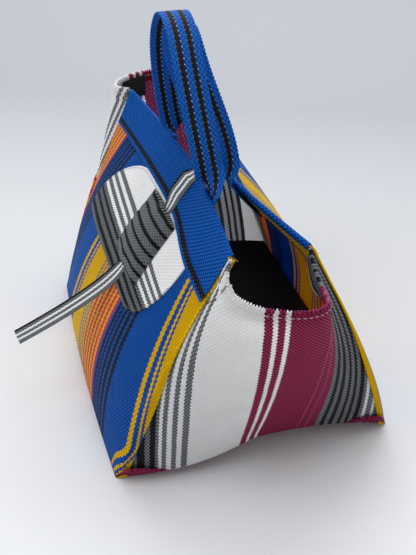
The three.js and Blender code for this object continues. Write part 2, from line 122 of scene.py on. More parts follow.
def add_node(tree: Tree, kind: str, inputs: dict | None = None,
             steps: list[tuple[float, Colour]] | None = None, **settings: object) -> bpy.types.Node:
    """Adds one node to a material.

    Args:
        tree: the material's node tree.
        kind: which shader node it is, such as Mix or Bump.
        inputs: a value or an output socket for each input, by name or number.
        steps: for a colour ramp, where each plain colour starts, the first at 0.
        settings: the node's own settings.

    Returns:
        The node.
    """
    node = tree.nodes.new(f"ShaderNode{kind}")
    for key, value in settings.items():
        setattr(node, key, value)
    for key, value in (inputs or {}).items():
        if isinstance(value, Socket):
            tree.links.new(value, node.inputs[key])
        else:
            node.inputs[key].default_value = value
    if steps:
        node.color_ramp.interpolation = "CONSTANT"
        stops = node.color_ramp.elements
        stops[0].color, stops[-1].color = steps[0][1], steps[-1][1]
        for start, colour in steps[1:]:
            stops.new(start).color = colour
    return node


def new_surface(name: str) -> tuple[Material, Tree, bpy.types.Node]:
    """Starts a material with one principled shader.

    Args:
        name: the real material's name.

    Returns:
        The material, its node tree and its shader.
    """
    material = bpy.data.materials.new(name)
    material.use_nodes = True
    tree = material.node_tree
    tree.nodes.clear()
    shader = add_node(tree, "BsdfPrincipled")
    add_node(tree, "OutputMaterial", {"Surface": shader.outputs[0]})
    return material, tree, shader


def chequer_weave(tree: Tree, across: Socket, along: Socket, width: float, length: float) -> Socket:
    """Height of a weave: short floats of yarn, staggered from row to row like bricks.

    Args:
        tree: the material's node tree.
        across: millimetres across the cloth.
        along: millimetres along the cloth.
        width: width of one float in millimetres.
        length: length of one float in millimetres.

    Returns:
        A height from 0 to 1.
    """
    waves = []
    for place, pitch in ((across, width), (along, length)):
        turn = add_node(tree, "Math", {0: place, 1: math.pi / pitch}, operation="MULTIPLY")
        waves.append(add_node(tree, "Math", {0: turn.outputs[0]}, operation="SINE").outputs[0])
    chequer = add_node(tree, "Math", {0: waves[0], 1: waves[1]}, operation="MULTIPLY")
    height = add_node(tree, "MapRange", {0: chequer.outputs[0], 1: -1.0, 2: 1.0})
    return height.outputs[0]


@dataclass(frozen=True)
class StripedMat:
    """Mat woven from flat polypropylene yarn: satin, with short floats and toothed edges of stripes."""

    name: str
    stripes: tuple[tuple[float, Yarn], ...]
    end: float
    repeats: bool = False
    run: StripeRun = StripeRun.ACROSS
    row_pitch: float = 2.35
    float_pitch: float = 1.7
    tooth: float = 0.75
    wander: float = 0.9
    relief: float = 0.6
    roughness: float = 0.5
    painted_shine: float = 0.012
    depth_of_shade: float = 0.7
    peak: float = 1.42
    pale_share: float = 0.25
    glow: float = 1.0
    glow_depth: float = 7.0
    pale_limit: float = 0.8
    pale_peak: float = 1.08
    soil_scale: float = 0.03
    soil_shade: tuple[float, float] = (0.95, 1.04)
    wander_scale: float = 0.06
    rough_gaps: float = 0.2
    smooth_tops: float = 0.06
    tops_from: float = 0.58
    relief_strength: float = 0.75
    ior: float = 1.49
    specular: float = 0.03

    def build(self) -> Material:
        """Makes the material.

        Returns:
            The finished material.
        """
        material, tree, shader = new_surface(self.name)
        place = add_node(tree, "UVMap", uv_map=CLOTH)
        split = add_node(tree, "SeparateXYZ", {0: place.outputs[0]})
        across = split.outputs[self.run.value]
        along = split.outputs["Y" if self.run is StripeRun.ACROSS else "X"]
        height = chequer_weave(tree, across, along, self.float_pitch, self.row_pitch)
        colour = self._stripes(tree, self._toothed(tree, place.outputs[0], across, along))
        value = self._shade(tree, place.outputs[0], height, colour)
        tone = add_node(tree, "HueSaturation", {"Value": value, "Color": colour})
        gloss = add_node(tree, "MapRange", {0: height, 3: self.roughness + self.rough_gaps,
                                            4: self.roughness - self.smooth_tops})
        # Painted highlight: a little white is mixed into the colour on the crests of the weave, standing in
        # for the shine of the yarn
        painted_crest_highlight = add_node(tree, "MapRange", {0: height, 1: self.tops_from, 2: 1.0, 3: 0.0, 4: self.painted_shine})
        white = to_linear(Yarn.WHITE.value)
        highlighted_colour = add_node(tree, "Mix", {0: painted_crest_highlight.outputs[0], 6: tone.outputs[0], 7: white}, data_type="RGBA")
        bump = add_node(tree, "Bump", {"Strength": self.relief_strength, "Distance": self.relief * MM,
                                       "Height": height})
        tree.links.new(highlighted_colour.outputs[2], shader.inputs["Base Color"])
        tree.links.new(gloss.outputs[0], shader.inputs["Roughness"])
        tree.links.new(bump.outputs[0], shader.inputs["Normal"])
        shader.inputs["IOR"].default_value = self.ior
        shader.inputs["Specular IOR Level"].default_value = self.specular
        # The thin yarn lets some daylight through, which is what lights the inside
        shader.inputs["Subsurface Weight"].default_value = self.glow
        shader.inputs["Subsurface Radius"].default_value = (1.0, 1.0, 1.0)
        shader.inputs["Subsurface Scale"].default_value = self.glow_depth * MM
        return material

    def _shade(self, tree: Tree, place: Socket, height: Socket, colour: Socket) -> Socket:
        """Light and shade of the weave, deeper in dark yarns, because pale ones light the gaps between them.

        Args:
            tree: the material's node tree.
            place: the place on the flat cloth.
            height: the height of the weave.
            colour: the yarn's colour.

        Returns:
            A factor for the colour's value.
        """
        pale = add_node(tree, "RGBToBW", {0: colour})
        limits = {0: pale.outputs[0], 1: 0.0, 2: self.pale_limit}
        gaps = add_node(tree, "MapRange", {**limits, 3: 1 - self.depth_of_shade,
                                           4: 1 - self.depth_of_shade * self.pale_share})
        crests = add_node(tree, "MapRange", {**limits, 3: self.peak, 4: self.pale_peak})
        shade = add_node(tree, "MapRange", {0: height, 3: gaps.outputs[0], 4: crests.outputs[0]})
        soil = add_node(tree, "TexNoise", {"Vector": place, "Scale": self.soil_scale, "Detail": 3.0})
        patch = add_node(tree, "MapRange", {0: soil.outputs[0], 1: NOISE_SPAN[0], 2: NOISE_SPAN[1],
                                            3: self.soil_shade[0], 4: self.soil_shade[1]})
        both = add_node(tree, "Math", {0: shade.outputs[0], 1: patch.outputs[0]}, operation="MULTIPLY")
        return both.outputs[0]

    def _toothed(self, tree: Tree, place: Socket, across: Socket, along: Socket) -> Socket:
        """Where each point falls in the stripes, with the teeth of the weave and a slight wander of the yarn.

        Args:
            tree: the material's node tree.
            place: the place on the flat cloth.
            across: millimetres across the stripes.
            along: millimetres along the stripes.

        Returns:
            Millimetres across the stripes.
        """
        step = add_node(tree, "Math", {0: along, 1: math.pi / self.row_pitch}, operation="MULTIPLY")
        wave = add_node(tree, "Math", {0: step.outputs[0]}, operation="SINE")
        tooth = add_node(tree, "Math", {0: wave.outputs[0], 1: self.tooth, 2: across},
                         operation="MULTIPLY_ADD")
        drift = add_node(tree, "TexNoise", {"Vector": place, "Scale": self.wander_scale, "Detail": 1.0})
        moved = add_node(tree, "Math", {0: drift.outputs[0], 1: self.wander, 2: tooth.outputs[0]},
                         operation="MULTIPLY_ADD")
        centred = add_node(tree, "Math", {0: moved.outputs[0], 1: self.wander / 2}, operation="SUBTRACT")
        return centred.outputs[0]

    def _stripes(self, tree: Tree, where: Socket) -> Socket:
        """Colour of the stripe at each point, from as many ramps as the pattern needs.

        Args:
            tree: the material's node tree.
            where: millimetres across the stripes.

        Returns:
            The stripe's colour.
        """
        first = self.stripes[0][0]
        if self.repeats:
            wrapped = add_node(tree, "Math", {0: where, 1: self.end, 2: first}, operation="WRAP")
            where = wrapped.outputs[0]
        colour: Socket | None = None
        for at in range(0, len(self.stripes), STRIPES_PER_RAMP):
            group = self.stripes[at:at + STRIPES_PER_RAMP]
            low = group[0][0]
            after = at + STRIPES_PER_RAMP
            high = self.stripes[after][0] if after < len(self.stripes) else self.end
            share = add_node(tree, "MapRange", {0: where, 1: low, 2: high})
            steps = [((start - low) / (high - low), to_linear(yarn.value)) for start, yarn in group]
            ramp = add_node(tree, "ValToRGB", {0: share.outputs[0]}, steps)
            if colour is None:
                colour = ramp.outputs[0]
            else:
                past = add_node(tree, "Math", {0: where, 1: low}, operation="GREATER_THAN")
                mixed = add_node(tree, "Mix", {0: past.outputs[0], 6: colour, 7: ramp.outputs[0]},
                                 data_type="RGBA")
                colour = mixed.outputs[2]
        return colour


@dataclass(frozen=True)
class LinedWebbing:
    """Polypropylene webbing: matt, blue with two black lines, and pale picks that show as rows of dots."""

    name: str = "woven polypropylene webbing"
    width: float = 25.0
    pick_pitch: float = 2.4
    rib_pitch: float = 1.7
    dot_pitch: float = 4.8
    black_lines: tuple[tuple[float, float], ...] = ((-7.8, -3.0), (2.4, 6.8))
    dot_lines: tuple[float, ...] = (-7.6, -3.2, 2.6, 6.6)
    dot_width: float = 0.75
    dot_length: float = 1.1
    dot_strength: float = 0.5
    margin: float = 1.0
    shade: tuple[float, float] = (0.28, 1.45)
    relief: float = 0.8
    relief_strength: float = 0.9
    roughness: float = 0.68
    specular: float = 0.15

    def build(self) -> Material:
        """Makes the material.

        Returns:
            The finished material.
        """
        material, tree, shader = new_surface(self.name)
        place = add_node(tree, "UVMap", uv_map=CLOTH)
        split = add_node(tree, "SeparateXYZ", {0: place.outputs[0]})
        across, along = split.outputs["X"], split.outputs["Y"]
        half = self.width / 2 + self.margin
        share = add_node(tree, "MapRange", {0: across, 1: -half, 2: half})
        edges = [(-half, Yarn.ROYAL)]
        for low, high in self.black_lines:
            edges += [(low, Yarn.BLACK), (high, Yarn.ROYAL)]
        lines = add_node(tree, "ValToRGB", {0: share.outputs[0]},
                         [((e + half) / (2 * half), to_linear(y.value)) for e, y in edges])
        picks: list[tuple[float, Colour]] = [(0.0, (0, 0, 0, 1))]
        for line in self.dot_lines:
            picks.append(((line - self.dot_width / 2 + half) / (2 * half), (1, 1, 1, 1)))
            picks.append(((line + self.dot_width / 2 + half) / (2 * half), (0, 0, 0, 1)))
        columns = add_node(tree, "ValToRGB", {0: share.outputs[0]}, picks)
        beat = add_node(tree, "Math", {0: along, 1: self.dot_pitch}, operation="MODULO")
        in_row = add_node(tree, "Math", {0: beat.outputs[0], 1: self.dot_length}, operation="LESS_THAN")
        dots = add_node(tree, "Math", {0: in_row.outputs[0], 1: columns.outputs[0]}, operation="MULTIPLY")
        pale = add_node(tree, "Math", {0: dots.outputs[0], 1: self.dot_strength}, operation="MULTIPLY")
        white = to_linear(Yarn.WHITE.value)
        dotted = add_node(tree, "Mix", {0: pale.outputs[0], 6: lines.outputs[0], 7: white},
                          data_type="RGBA")
        height = chequer_weave(tree, across, along, self.rib_pitch, self.pick_pitch)
        # Painted light and shade of the weave: the colour is darkened in the gaps and lightened on the ribs
        shade = add_node(tree, "MapRange", {0: height, 3: self.shade[0], 4: self.shade[1]})
        tone = add_node(tree, "HueSaturation", {"Value": shade.outputs[0], "Color": dotted.outputs[2]})
        bump = add_node(tree, "Bump", {"Strength": self.relief_strength, "Distance": self.relief * MM,
                                       "Height": height})
        tree.links.new(tone.outputs[0], shader.inputs["Base Color"])
        tree.links.new(bump.outputs[0], shader.inputs["Normal"])
        shader.inputs["Roughness"].default_value = self.roughness
        shader.inputs["Specular IOR Level"].default_value = self.specular
        return material


@dataclass(frozen=True)
class PlainSheet:
    """A plain sheet or tape of one colour: matt, with a fine tooth and a little unevenness."""

    name: str
    colour: Yarn
    grain: float = 1.2
    relief: float = 0.12
    relief_strength: float = 0.5
    roughness: float = 0.6
    smoother: float = 0.08
    rougher: float = 0.12
    cloud_scale: float = 0.025
    cloud_shade: tuple[float, float] = (0.85, 1.15)
    specular: float = 0.3

    def build(self) -> Material:
        """Makes the material.

        Returns:
            The finished material.
        """
        material, tree, shader = new_surface(self.name)
        place = add_node(tree, "UVMap", uv_map=CLOTH)
        fine = add_node(tree, "TexNoise", {"Vector": place.outputs[0], "Scale": 1 / self.grain,
                                           "Detail": 3.0})
        broad = add_node(tree, "TexNoise", {"Vector": place.outputs[0], "Scale": self.cloud_scale,
                                            "Detail": 2.0})
        shade = add_node(tree, "MapRange", {0: broad.outputs[0], 1: NOISE_SPAN[0], 2: NOISE_SPAN[1],
                                            3: self.cloud_shade[0], 4: self.cloud_shade[1]})
        tone = add_node(tree, "HueSaturation",
                        {"Value": shade.outputs[0], "Color": to_linear(self.colour.value)})
        gloss = add_node(tree, "MapRange", {0: fine.outputs[0], 3: self.roughness - self.smoother,
                                            4: self.roughness + self.rougher})
        bump = add_node(tree, "Bump", {"Strength": self.relief_strength, "Distance": self.relief * MM,
                                       "Height": fine.outputs[0]})
        tree.links.new(tone.outputs[0], shader.inputs["Base Color"])
        tree.links.new(gloss.outputs[0], shader.inputs["Roughness"])
        tree.links.new(bump.outputs[0], shader.inputs["Normal"])
        shader.inputs["Specular IOR Level"].default_value = self.specular
        return material


def seen_directly(tree: Tree) -> Socket:
    """Tells what the camera, a mirror or a glass sees from what only lights the bag.

    Args:
        tree: a node tree.

    Returns:
        1 where it is seen, 0 where it only lights.
    """
    ray = add_node(tree, "LightPath").outputs
    mirrored = add_node(tree, "Math", {0: ray["Is Camera Ray"], 1: ray["Is Glossy Ray"]},
                        operation="MAXIMUM")
    seen = add_node(tree, "Math", {0: mirrored.outputs[0], 1: ray["Is Transmission Ray"]},
                    operation="MAXIMUM")
    return seen.outputs[0]


@dataclass(frozen=True)
class BackdropPaper:
    """Matt studio paper, near white under the bag and greyer behind it as painted light falloff, lost in the
    surround further out.
    """

    name: str = "matt studio paper"
    pale: str = "#F6F8FB"
    grey: str = "#B5B8BE"
    surround: str = "#D0D3D8"
    painted_falloff_start: float = -0.3
    painted_falloff_end: float = 0.7
    painted_falloff_way: tuple[float, float, float] = (-0.9, 0.43, 0.0)
    lost_from: float = 0.95
    lost_at: float = 2.2
    roughness: float = 0.95
    specular: float = 0.1

    def build(self) -> Material:
        """Makes the material.

        Returns:
            The finished material.
        """
        material, tree, shader = new_surface(self.name)
        place = add_node(tree, "TexCoord")
        # Painted light falloff: the colour goes from pale to grey towards the far side, standing in for less
        # light there
        away = add_node(tree, "VectorMath", {0: place.outputs["Object"], 1: self.painted_falloff_way},
                        operation="DOT_PRODUCT")
        share = add_node(tree, "MapRange", {0: away.outputs["Value"], 1: self.painted_falloff_start, 2: self.painted_falloff_end})
        colour = add_node(tree, "Mix", {0: share.outputs[0], 6: to_linear(self.pale),
                                        7: to_linear(self.grey)}, data_type="RGBA")
        tree.links.new(colour.outputs[2], shader.inputs["Base Color"])
        shader.inputs["Roughness"].default_value = self.roughness
        shader.inputs["Specular IOR Level"].default_value = self.specular
        far = add_node(tree, "VectorMath", {0: place.outputs["Object"]}, operation="LENGTH")
        lost = add_node(tree, "MapRange", {0: far.outputs["Value"], 1: self.lost_from, 2: self.lost_at},
                        interpolation_type="SMOOTHSTEP")
        gone = add_node(tree, "Math", {0: lost.outputs[0], 1: seen_directly(tree)}, operation="MULTIPLY")
        air = add_node(tree, "Emission", {"Color": to_linear(self.surround), "Strength": 1.0})
        both = add_node(tree, "MixShader", {0: gone.outputs[0], 1: shader.outputs[0], 2: air.outputs[0]})
        tree.links.new(both.outputs[0], tree.nodes["Material Output"].inputs["Surface"])
        return material


def unit(vectors: Points) -> Points:
    """Vectors scaled to length 1."""
    return vectors / np.maximum(np.linalg.norm(vectors, axis=-1, keepdims=True), 1e-12)


def smooth_step(value: Points | float) -> Points:
    """An even ease from 0 to 1."""
    share = np.clip(value, 0, 1)
    return share * share * (3 - 2 * share)


def path_length(points: Points) -> Points:
    """Length along a line of points, from its first point."""
    return np.concatenate([[0.0], np.cumsum(np.linalg.norm(np.diff(points, axis=0), axis=1))])


def part_way(values: Points, length: Points, at: Points) -> Points:
    """Values between a line's points, at given lengths along it."""
    return np.stack([np.interp(at, length, values[:, i]) for i in range(3)], axis=1)


def even_path(points: Points, count: int) -> Points:
    """The same line through points at equal distances.

    Args:
        points: the line.
        count: how many points to return.

    Returns:
        The new points.
    """
    length = path_length(points)
    return part_way(points, length, np.linspace(0, length[-1], count))


def rounded_path(points: Points, samples: int) -> Points:
    """A smooth line through all points.

    Args:
        points: the points to pass.
        samples: how many points to return for each gap.

    Returns:
        The smooth line.
    """
    ends = np.vstack([2 * points[0] - points[1], points, 2 * points[-1] - points[-2]])
    line = []
    for i in range(len(points) - 1):
        a, b, c, d = ends[i:i + 4]
        for k in np.arange(samples) / samples:
            line.append(0.5 * (2 * b + (c - a) * k + (2 * a - 5 * b + 4 * c - d) * k**2
                               + (3 * b - a - 3 * c + d) * k**3))
    return np.array(line + [points[-1]])


@dataclass(frozen=True)
class BagForm:
    """The bag's soft shape: where the middle of each wall lies. All sizes are in millimetres."""

    base_length: float = 322.0
    base_width: float = 258.0
    base_flat_length: float = 190.0
    base_end_lift: float = 16.0
    base_lift_skew: float = 0.4
    end_foot_bow: float = 12.0
    front_foot_bow: float = 5.0
    top_length: float = 370.0
    mouth_width: float = 73.0
    height: float = 224.0
    mat: float = 1.6
    gap: float = 0.3
    foot_gap: float = 0.9
    foot_out: float = 0.45
    foot_out_from: float = 9.0
    foot_out_run: float = 6.0
    belly: float = 20.0
    seam_belly: float = 7.0
    belly_fall: float = 1.5
    belly_end: float = 3.0
    pinch_x: float = 14.0
    front_pinch: float = 15.0
    front_pinch_curve: float = 1.6
    back_pinch: float = 36.0
    back_pinch_curve: float = 1.25
    spout_width: float = 80.0
    seam_cosine: float = -1 / 3
    spout_open: float = 1.35
    rim_dip_power: float = 6.0
    crease: float = 4.5
    crease_turn: float = 0.4
    crease_reach: float = 0.13
    # Reach, skew, lean and dip of each spout's rim
    near_spout: tuple[float, float, float, float] = (60.0, 10.0, 9.0, 17.0)
    far_spout: tuple[float, float, float, float] = (64.0, 2.0, 13.0, 3.0)

    @property
    def slope(self) -> float:
        """Length of a long wall from its foot to its top edge."""
        return math.hypot(self.height, (self.base_width - self.mouth_width) / 2)

    @property
    def foot_drop(self) -> float:
        """Drop of the walls' lower edges, just above the base."""
        return self.slope * (1 - self.foot_gap / self.height)

    def foot_step(self, drop: Points) -> Points:
        """How far a wall's outer face stands out at its foot, over the base's edge."""
        below = np.asarray(drop, float) - self.slope + self.foot_out_from
        return self.foot_out * smooth_step(below / self.foot_out_run)

    def share_at(self, drop: Points | float) -> Points:
        """Share of the height at a drop below the top edge."""
        return 1 - np.asarray(drop, float) / self.slope

    def half_length(self, share: Points) -> Points:
        """Half the bag's length at a share of its height."""
        return (self.base_length + (self.top_length - self.base_length) * share) / 2

    def base_height(self, x: Points, y: Points) -> Points:
        """Height of the base's underside, lifted at the middle of both ends.

        Args:
            x: places along the base.
            y: places across it.

        Returns:
            The heights.
        """
        ramp = (np.abs(x) - self.base_flat_length / 2) / ((self.base_length - self.base_flat_length) / 2)
        across = np.clip(2 * y / self.base_width, -1, 1)
        lift = self.base_end_lift * np.clip(ramp, 0, 1)**2
        return lift * (1 - across**2) * (1 + self.base_lift_skew * across)

    def foot_bow(self, y: Points) -> Points:
        """How far the foot of an end wall bows out."""
        return self.end_foot_bow * np.maximum(0, -np.sin(math.pi * np.clip(2 * y / self.base_width, -1, 1)))

    def wall_point(self, side: Side, x: Points, share: Points) -> Points:
        """Points on the middle of a long wall.

        Args:
            side: front or back.
            x: places along the wall.
            share: shares of its height.

        Returns:
            The points.
        """
        x, share = np.broadcast_arrays(np.asarray(x, float), np.asarray(share, float))
        left = np.maximum(0, 1 - share)
        along = np.clip(x / self.half_length(share), -1, 1)
        low = 1 / (1 + self.belly_fall)
        full = share * left**self.belly_fall / (low * (1 - low)**self.belly_fall)
        belly = full * (self.belly + (self.seam_belly - self.belly) * np.abs(along)**self.belly_end)
        if side is Side.FRONT:
            pinch, curve, bow = self.front_pinch, self.front_pinch_curve, self.front_foot_bow
        else:
            pinch, curve, bow = self.back_pinch, self.back_pinch_curve, 0.0
        reach = self.top_length / 2 + self.pinch_x
        drawn = pinch * np.maximum(0, 1 - np.abs((x - self.pinch_x) / reach)**curve)
        straight = (self.base_width + (self.mouth_width - self.base_width) * share) / 2
        lean = (self.base_width - self.mouth_width) / 2 / self.slope
        y = (straight + bow * (1 - along**2) * left**2 + belly * self.height / self.slope
             - drawn * np.maximum(0, share)**2)
        return np.stack([x, side.value * y, self.height * share + belly * lean], axis=-1)

    def gusset_point(self, end: End, turn: Points, share: Points) -> Points:
        """Points on the middle of an end wall.

        Args:
            end: near or far.
            turn: from -1 at the front seam to 1 at the back seam.
            share: shares of its height.

        Returns:
            The points.
        """
        turn, share = np.broadcast_arrays(np.asarray(turn, float), np.asarray(share, float))
        reach, skew, lean, dip = self.near_spout if end is End.NEAR else self.far_spout
        half = self.half_length(share)
        front = self.wall_point(Side.FRONT, end.value * half, share)
        back = self.wall_point(Side.BACK, end.value * half, share)
        left = np.maximum(0, 1 - share)
        chord = front[..., 1] + (back[..., 1] - front[..., 1]) * (turn + 1) / 2
        angle = math.acos(self.seam_cosine)
        bow = (np.cos(turn * angle) - self.seam_cosine) / (1 - self.seam_cosine)
        opened = 1 - left**self.spout_open
        wide = self.spout_width / 2 * (np.sin(turn * angle) - turn * math.sin(angle))
        sway = skew * bow - lean * 4 * bow * (1 - bow)
        foot_y = turn * self.base_width / 2
        crease = self.crease if end is End.NEAR else 0.0
        fold = crease * np.exp(-np.abs(turn - self.crease_turn) / self.crease_reach) * (1 - turn**2)
        x = end.value * (half + (reach * bow + fold) * opened + self.foot_bow(foot_y) * left**2)
        foot = self.base_height(end.value * self.base_length / 2, foot_y) * left
        z = front[..., 2] - dip * (1 - turn**self.rim_dip_power) * share + foot
        return np.stack([x, chord + (wide + sway) * opened, z], axis=-1)

    def on_wall(self, side: Side, x: Points | float, drop: Points | float,
                distance: Points | float) -> Points:
        """Points beside a long wall.

        Args:
            side: front or back.
            x: places along the wall.
            drop: millimetres of slope below the top edge.
            distance: millimetres outside the wall's middle.

        Returns:
            The points.
        """
        x, share, distance = np.broadcast_arrays(np.asarray(x, float), self.share_at(drop),
                                                 np.asarray(distance, float))
        step_x, step_v = 0.2, 1e-3
        along = self.wall_point(side, x + step_x, share) - self.wall_point(side, x - step_x, share)
        up = self.wall_point(side, x, share + step_v) - self.wall_point(side, x, share - step_v)
        normal = unit(np.cross(along, up))
        normal = normal * np.where(normal[..., 1:2] * side.value < 0, -1, 1)
        return self.wall_point(side, x, share) + normal * distance[..., None]

    def on_gusset(self, end: End, turn: Points | float, drop: Points | float,
                  distance: Points | float) -> Points:
        """Points beside an end wall.

        Args:
            end: near or far.
            turn: from -1 at the front seam to 1 at the back seam.
            drop: millimetres below the rim.
            distance: millimetres outside the wall's middle.

        Returns:
            The points.
        """
        turn, share, distance = np.broadcast_arrays(np.asarray(turn, float), self.share_at(drop),
                                                    np.asarray(distance, float))
        step = 1e-3
        along = self.gusset_point(end, turn + step, share) - self.gusset_point(end, turn - step, share)
        up = self.gusset_point(end, turn, share + step) - self.gusset_point(end, turn, share - step)
        normal = unit(np.cross(along, up))
        normal = normal * np.where(normal[..., :1] * end.value < 0, -1, 1)
        return self.gusset_point(end, turn, share) + normal * distance[..., None]


def finish_mesh(name: str, points: Points, faces: list[tuple[int, ...]], cloth: Points,
                material: Material, sharp: float = 38.0) -> Piece:
    """Makes an object from points in millimetres.

    Args:
        name: the piece's name.
        points: its vertices.
        faces: its faces.
        cloth: each vertex's place on the flat cloth.
        material: its finish.
        sharp: the edge angle in degrees from which shading breaks.

    Returns:
        The object.
    """
    mesh = bpy.data.meshes.new(name)
    mesh.from_pydata((points * MM).tolist(), [], faces)
    layer = mesh.uv_layers.new(name=CLOTH)
    corners = np.zeros(len(mesh.loops), dtype=np.int64)
    mesh.loops.foreach_get("vertex_index", corners)
    layer.data.foreach_set("uv", cloth[corners].astype(np.float32).ravel())
    mesh.polygons.foreach_set("use_smooth", np.ones(len(mesh.polygons), dtype=bool))
    mesh.set_sharp_from_angle(angle=math.radians(sharp))
    mesh.materials.append(material)
    mesh.update()
    piece = bpy.data.objects.new(name, mesh)
    bpy.context.scene.collection.objects.link(piece)
    return piece


def sewn_sheet(name: str, outer: Points, inner: Points, cloth: Points, material: Material,
               inner_cloth: Points | None = None, rounding: float = 0.35) -> Piece:
    """A closed sheet between two grids of points, with softened edges.

    Args:
        name: the piece's name.
        outer: columns by rows of points on its outer face.
        inner: the same on its inner face.
        cloth: each outer point's place on the flat cloth.
        material: its finish.
        inner_cloth: the places of the inner points, where they differ.
        rounding: how far the edges swell, in thicknesses.

    Returns:
        The object.
    """
    columns, rows = outer.shape[:2]
    size = columns * rows
    grid = np.arange(size).reshape(columns, rows)
    rim = np.concatenate([grid[:, 0], grid[-1, 1:], grid[-2::-1, -1], grid[0, -2:0:-1]])
    flat_outer, flat_inner = outer.reshape(-1, 3), inner.reshape(-1, 3)
    inside = grid.copy()
    inside[0], inside[-1] = grid[1], grid[-2]
    inside[:, 0], inside[:, -1] = grid[:, 1], grid[:, -2]
    away = unit(flat_outer[rim] - flat_outer[inside.ravel()[rim]])
    thick = np.linalg.norm(flat_outer[rim] - flat_inner[rim], axis=1, keepdims=True)
    edge = (flat_outer[rim] + flat_inner[rim]) / 2 + away * thick * rounding
    points = np.vstack([flat_outer, flat_inner, edge])
    above = np.stack([grid[:-1, :-1], grid[1:, :-1], grid[1:, 1:], grid[:-1, 1:]], axis=-1).reshape(-1, 4)
    under = above[:, [0, 3, 2, 1]] + size
    next_rim = np.roll(rim, -1)
    middle = 2 * size + np.arange(len(rim))
    next_middle = np.roll(middle, -1)
    upper = np.stack([next_rim, rim, middle, next_middle], axis=1)
    lower = np.stack([next_middle, middle, rim + size, next_rim + size], axis=1)
    array = np.vstack([above, under, np.stack([upper, lower], axis=1).reshape(-1, 4)])
    a, b, c, d = (points[array[:, k]] for k in range(4))
    volume = np.einsum("ij,ij->", a, np.cross(b, c)) + np.einsum("ij,ij->", a, np.cross(c, d))
    if volume < 0:
        array = array[:, ::-1]
    flat_cloth = cloth.reshape(-1, 2)
    below = flat_cloth if inner_cloth is None else inner_cloth.reshape(-1, 2)
    places = np.vstack([flat_cloth, below, flat_cloth[rim]])
    return finish_mesh(name, points, [tuple(f) for f in array.tolist()], places, material)


def profiled(place: Callable[[Points, Points, Points], Points], stations: Points, profile: Points) -> Points:
    """Lays a profile on a surface at every station.

    Args:
        place: function of station, drop and distance that gives points.
        stations: the places along the surface.
        profile: rows of drop and distance, or one such list for each station.

    Returns:
        Stations by rows of points.
    """
    if profile.ndim == 2:
        profile = np.repeat(profile[None], len(stations), axis=0)
    return place(np.repeat(stations[:, None], profile.shape[1], axis=1), profile[..., 0], profile[..., 1])


def straight_run(start: float, stop: float, count: int, distance: float) -> Points:
    """Rows of drop and distance from one drop to another."""
    return np.stack([np.linspace(start, stop, count), np.full(count, distance)], axis=1)


def over_edge(middle: float, radius: float, count: int) -> Points:
    """Rows of drop and distance round the top of a fold, from outside to inside."""
    angle = np.linspace(0, math.pi, count + 2)[1:-1]
    return np.stack([-radius * np.sin(angle), middle + radius * np.cos(angle)], axis=1)


def flat_strap(name: str, middle: Points, wide: Points, width: float, thickness: float, material: Material,
               columns: int, ribs: int = 0, selvedge: float = 0.0) -> Piece:
    """A flat woven strap along a line.

    Args:
        name: the piece's name.
        middle: points along its middle.
        wide: the direction of its width at each point.
        width: its width.
        thickness: its thickness.
        material: its finish.
        columns: how many points its width takes.
        ribs: how many soft ribs run along it.
        selvedge: how far its edges wave in and out with the picks.

    Returns:
        The object.
    """
    rib_depth, edge_thinning, edge_power, wave_length = 0.16, 0.35, 14, 3.6
    tangent = unit(np.gradient(middle, axis=0))
    wide = unit(wide - tangent * np.sum(wide * tangent, axis=1, keepdims=True))
    thick = np.cross(wide, tangent)
    share = np.sin(np.linspace(-math.pi / 2, math.pi / 2, columns))
    swell = 1 - rib_depth * np.abs(np.sin(share * ribs * math.pi / 2 + ribs * math.pi / 2))
    half = thickness / 2 * swell * (1 - edge_thinning * np.abs(share)**edge_power)
    along = path_length(middle)
    waved = width / 2 + selvedge * np.sin(2 * math.pi * along / wave_length)
    spread = middle[:, None] + wide[:, None] * (share[None] * waved[:, None])[..., None]
    outer = spread + thick[:, None] * half[None, :, None]
    inner = spread - thick[:, None] * half[None, :, None]
    cloth = np.stack(np.broadcast_arrays((share * width / 2)[None, :], along[:, None]), axis=-1)
    return sewn_sheet(name, outer, inner, cloth, material)


def beads(name: str, centres: Points, along: Points, up: Points, size: Points, cloth: Points,
          material: Material, turns: int = 6, bands: int = 4) -> Piece:
    """Many small rounded lumps of yarn as one piece, such as stitches or the teeth of a fold.

    Args:
        name: the piece's name.
        centres: the middle of each lump.
        along: the direction of each lump's length.
        up: the direction away from what carries it.
        size: half the length, width and height of each lump.
        cloth: each lump's place on the flat cloth.
        material: their finish.
        turns: points round a lump.
        bands: rings along a lump.

    Returns:
        The object.
    """
    along = unit(along)
    up = unit(up - along * np.sum(up * along, axis=1, keepdims=True))
    side = np.cross(along, up)
    angle = np.arange(turns) * 2 * math.pi / turns
    reach = np.linspace(-1, 1, bands + 2)[1:-1]
    ring = np.sqrt(1 - reach**2)
    local = [(-1.0, 0.0, 0.0)]
    for place, radius in zip(reach, ring):
        local += [(place, radius * math.cos(t), radius * math.sin(t)) for t in angle]
    local.append((1.0, 0.0, 0.0))
    local = np.array(local)
    count = len(local)
    size = np.broadcast_to(size, (len(centres), 3))
    points = (centres[:, None] + along[:, None] * (local[None, :, :1] * size[:, None, :1])
              + side[:, None] * (local[None, :, 1:2] * size[:, None, 1:2])
              + up[:, None] * (local[None, :, 2:] * size[:, None, 2:])).reshape(-1, 3)
    shape = []
    for i in range(turns):
        j = (i + 1) % turns
        shape.append((0, 1 + j, 1 + i))
        for b in range(bands - 1):
            low, high = 1 + b * turns, 1 + (b + 1) * turns
            shape.append((low + i, low + j, high + j, high + i))
        last = 1 + (bands - 1) * turns
        shape.append((last + i, last + j, count - 1))
    faces = [tuple(n * count + k for k in face) for n in range(len(centres)) for face in shape]
    places = np.repeat(cloth, count, axis=0)
    return finish_mesh(name, points, faces, places, material, sharp=180.0)


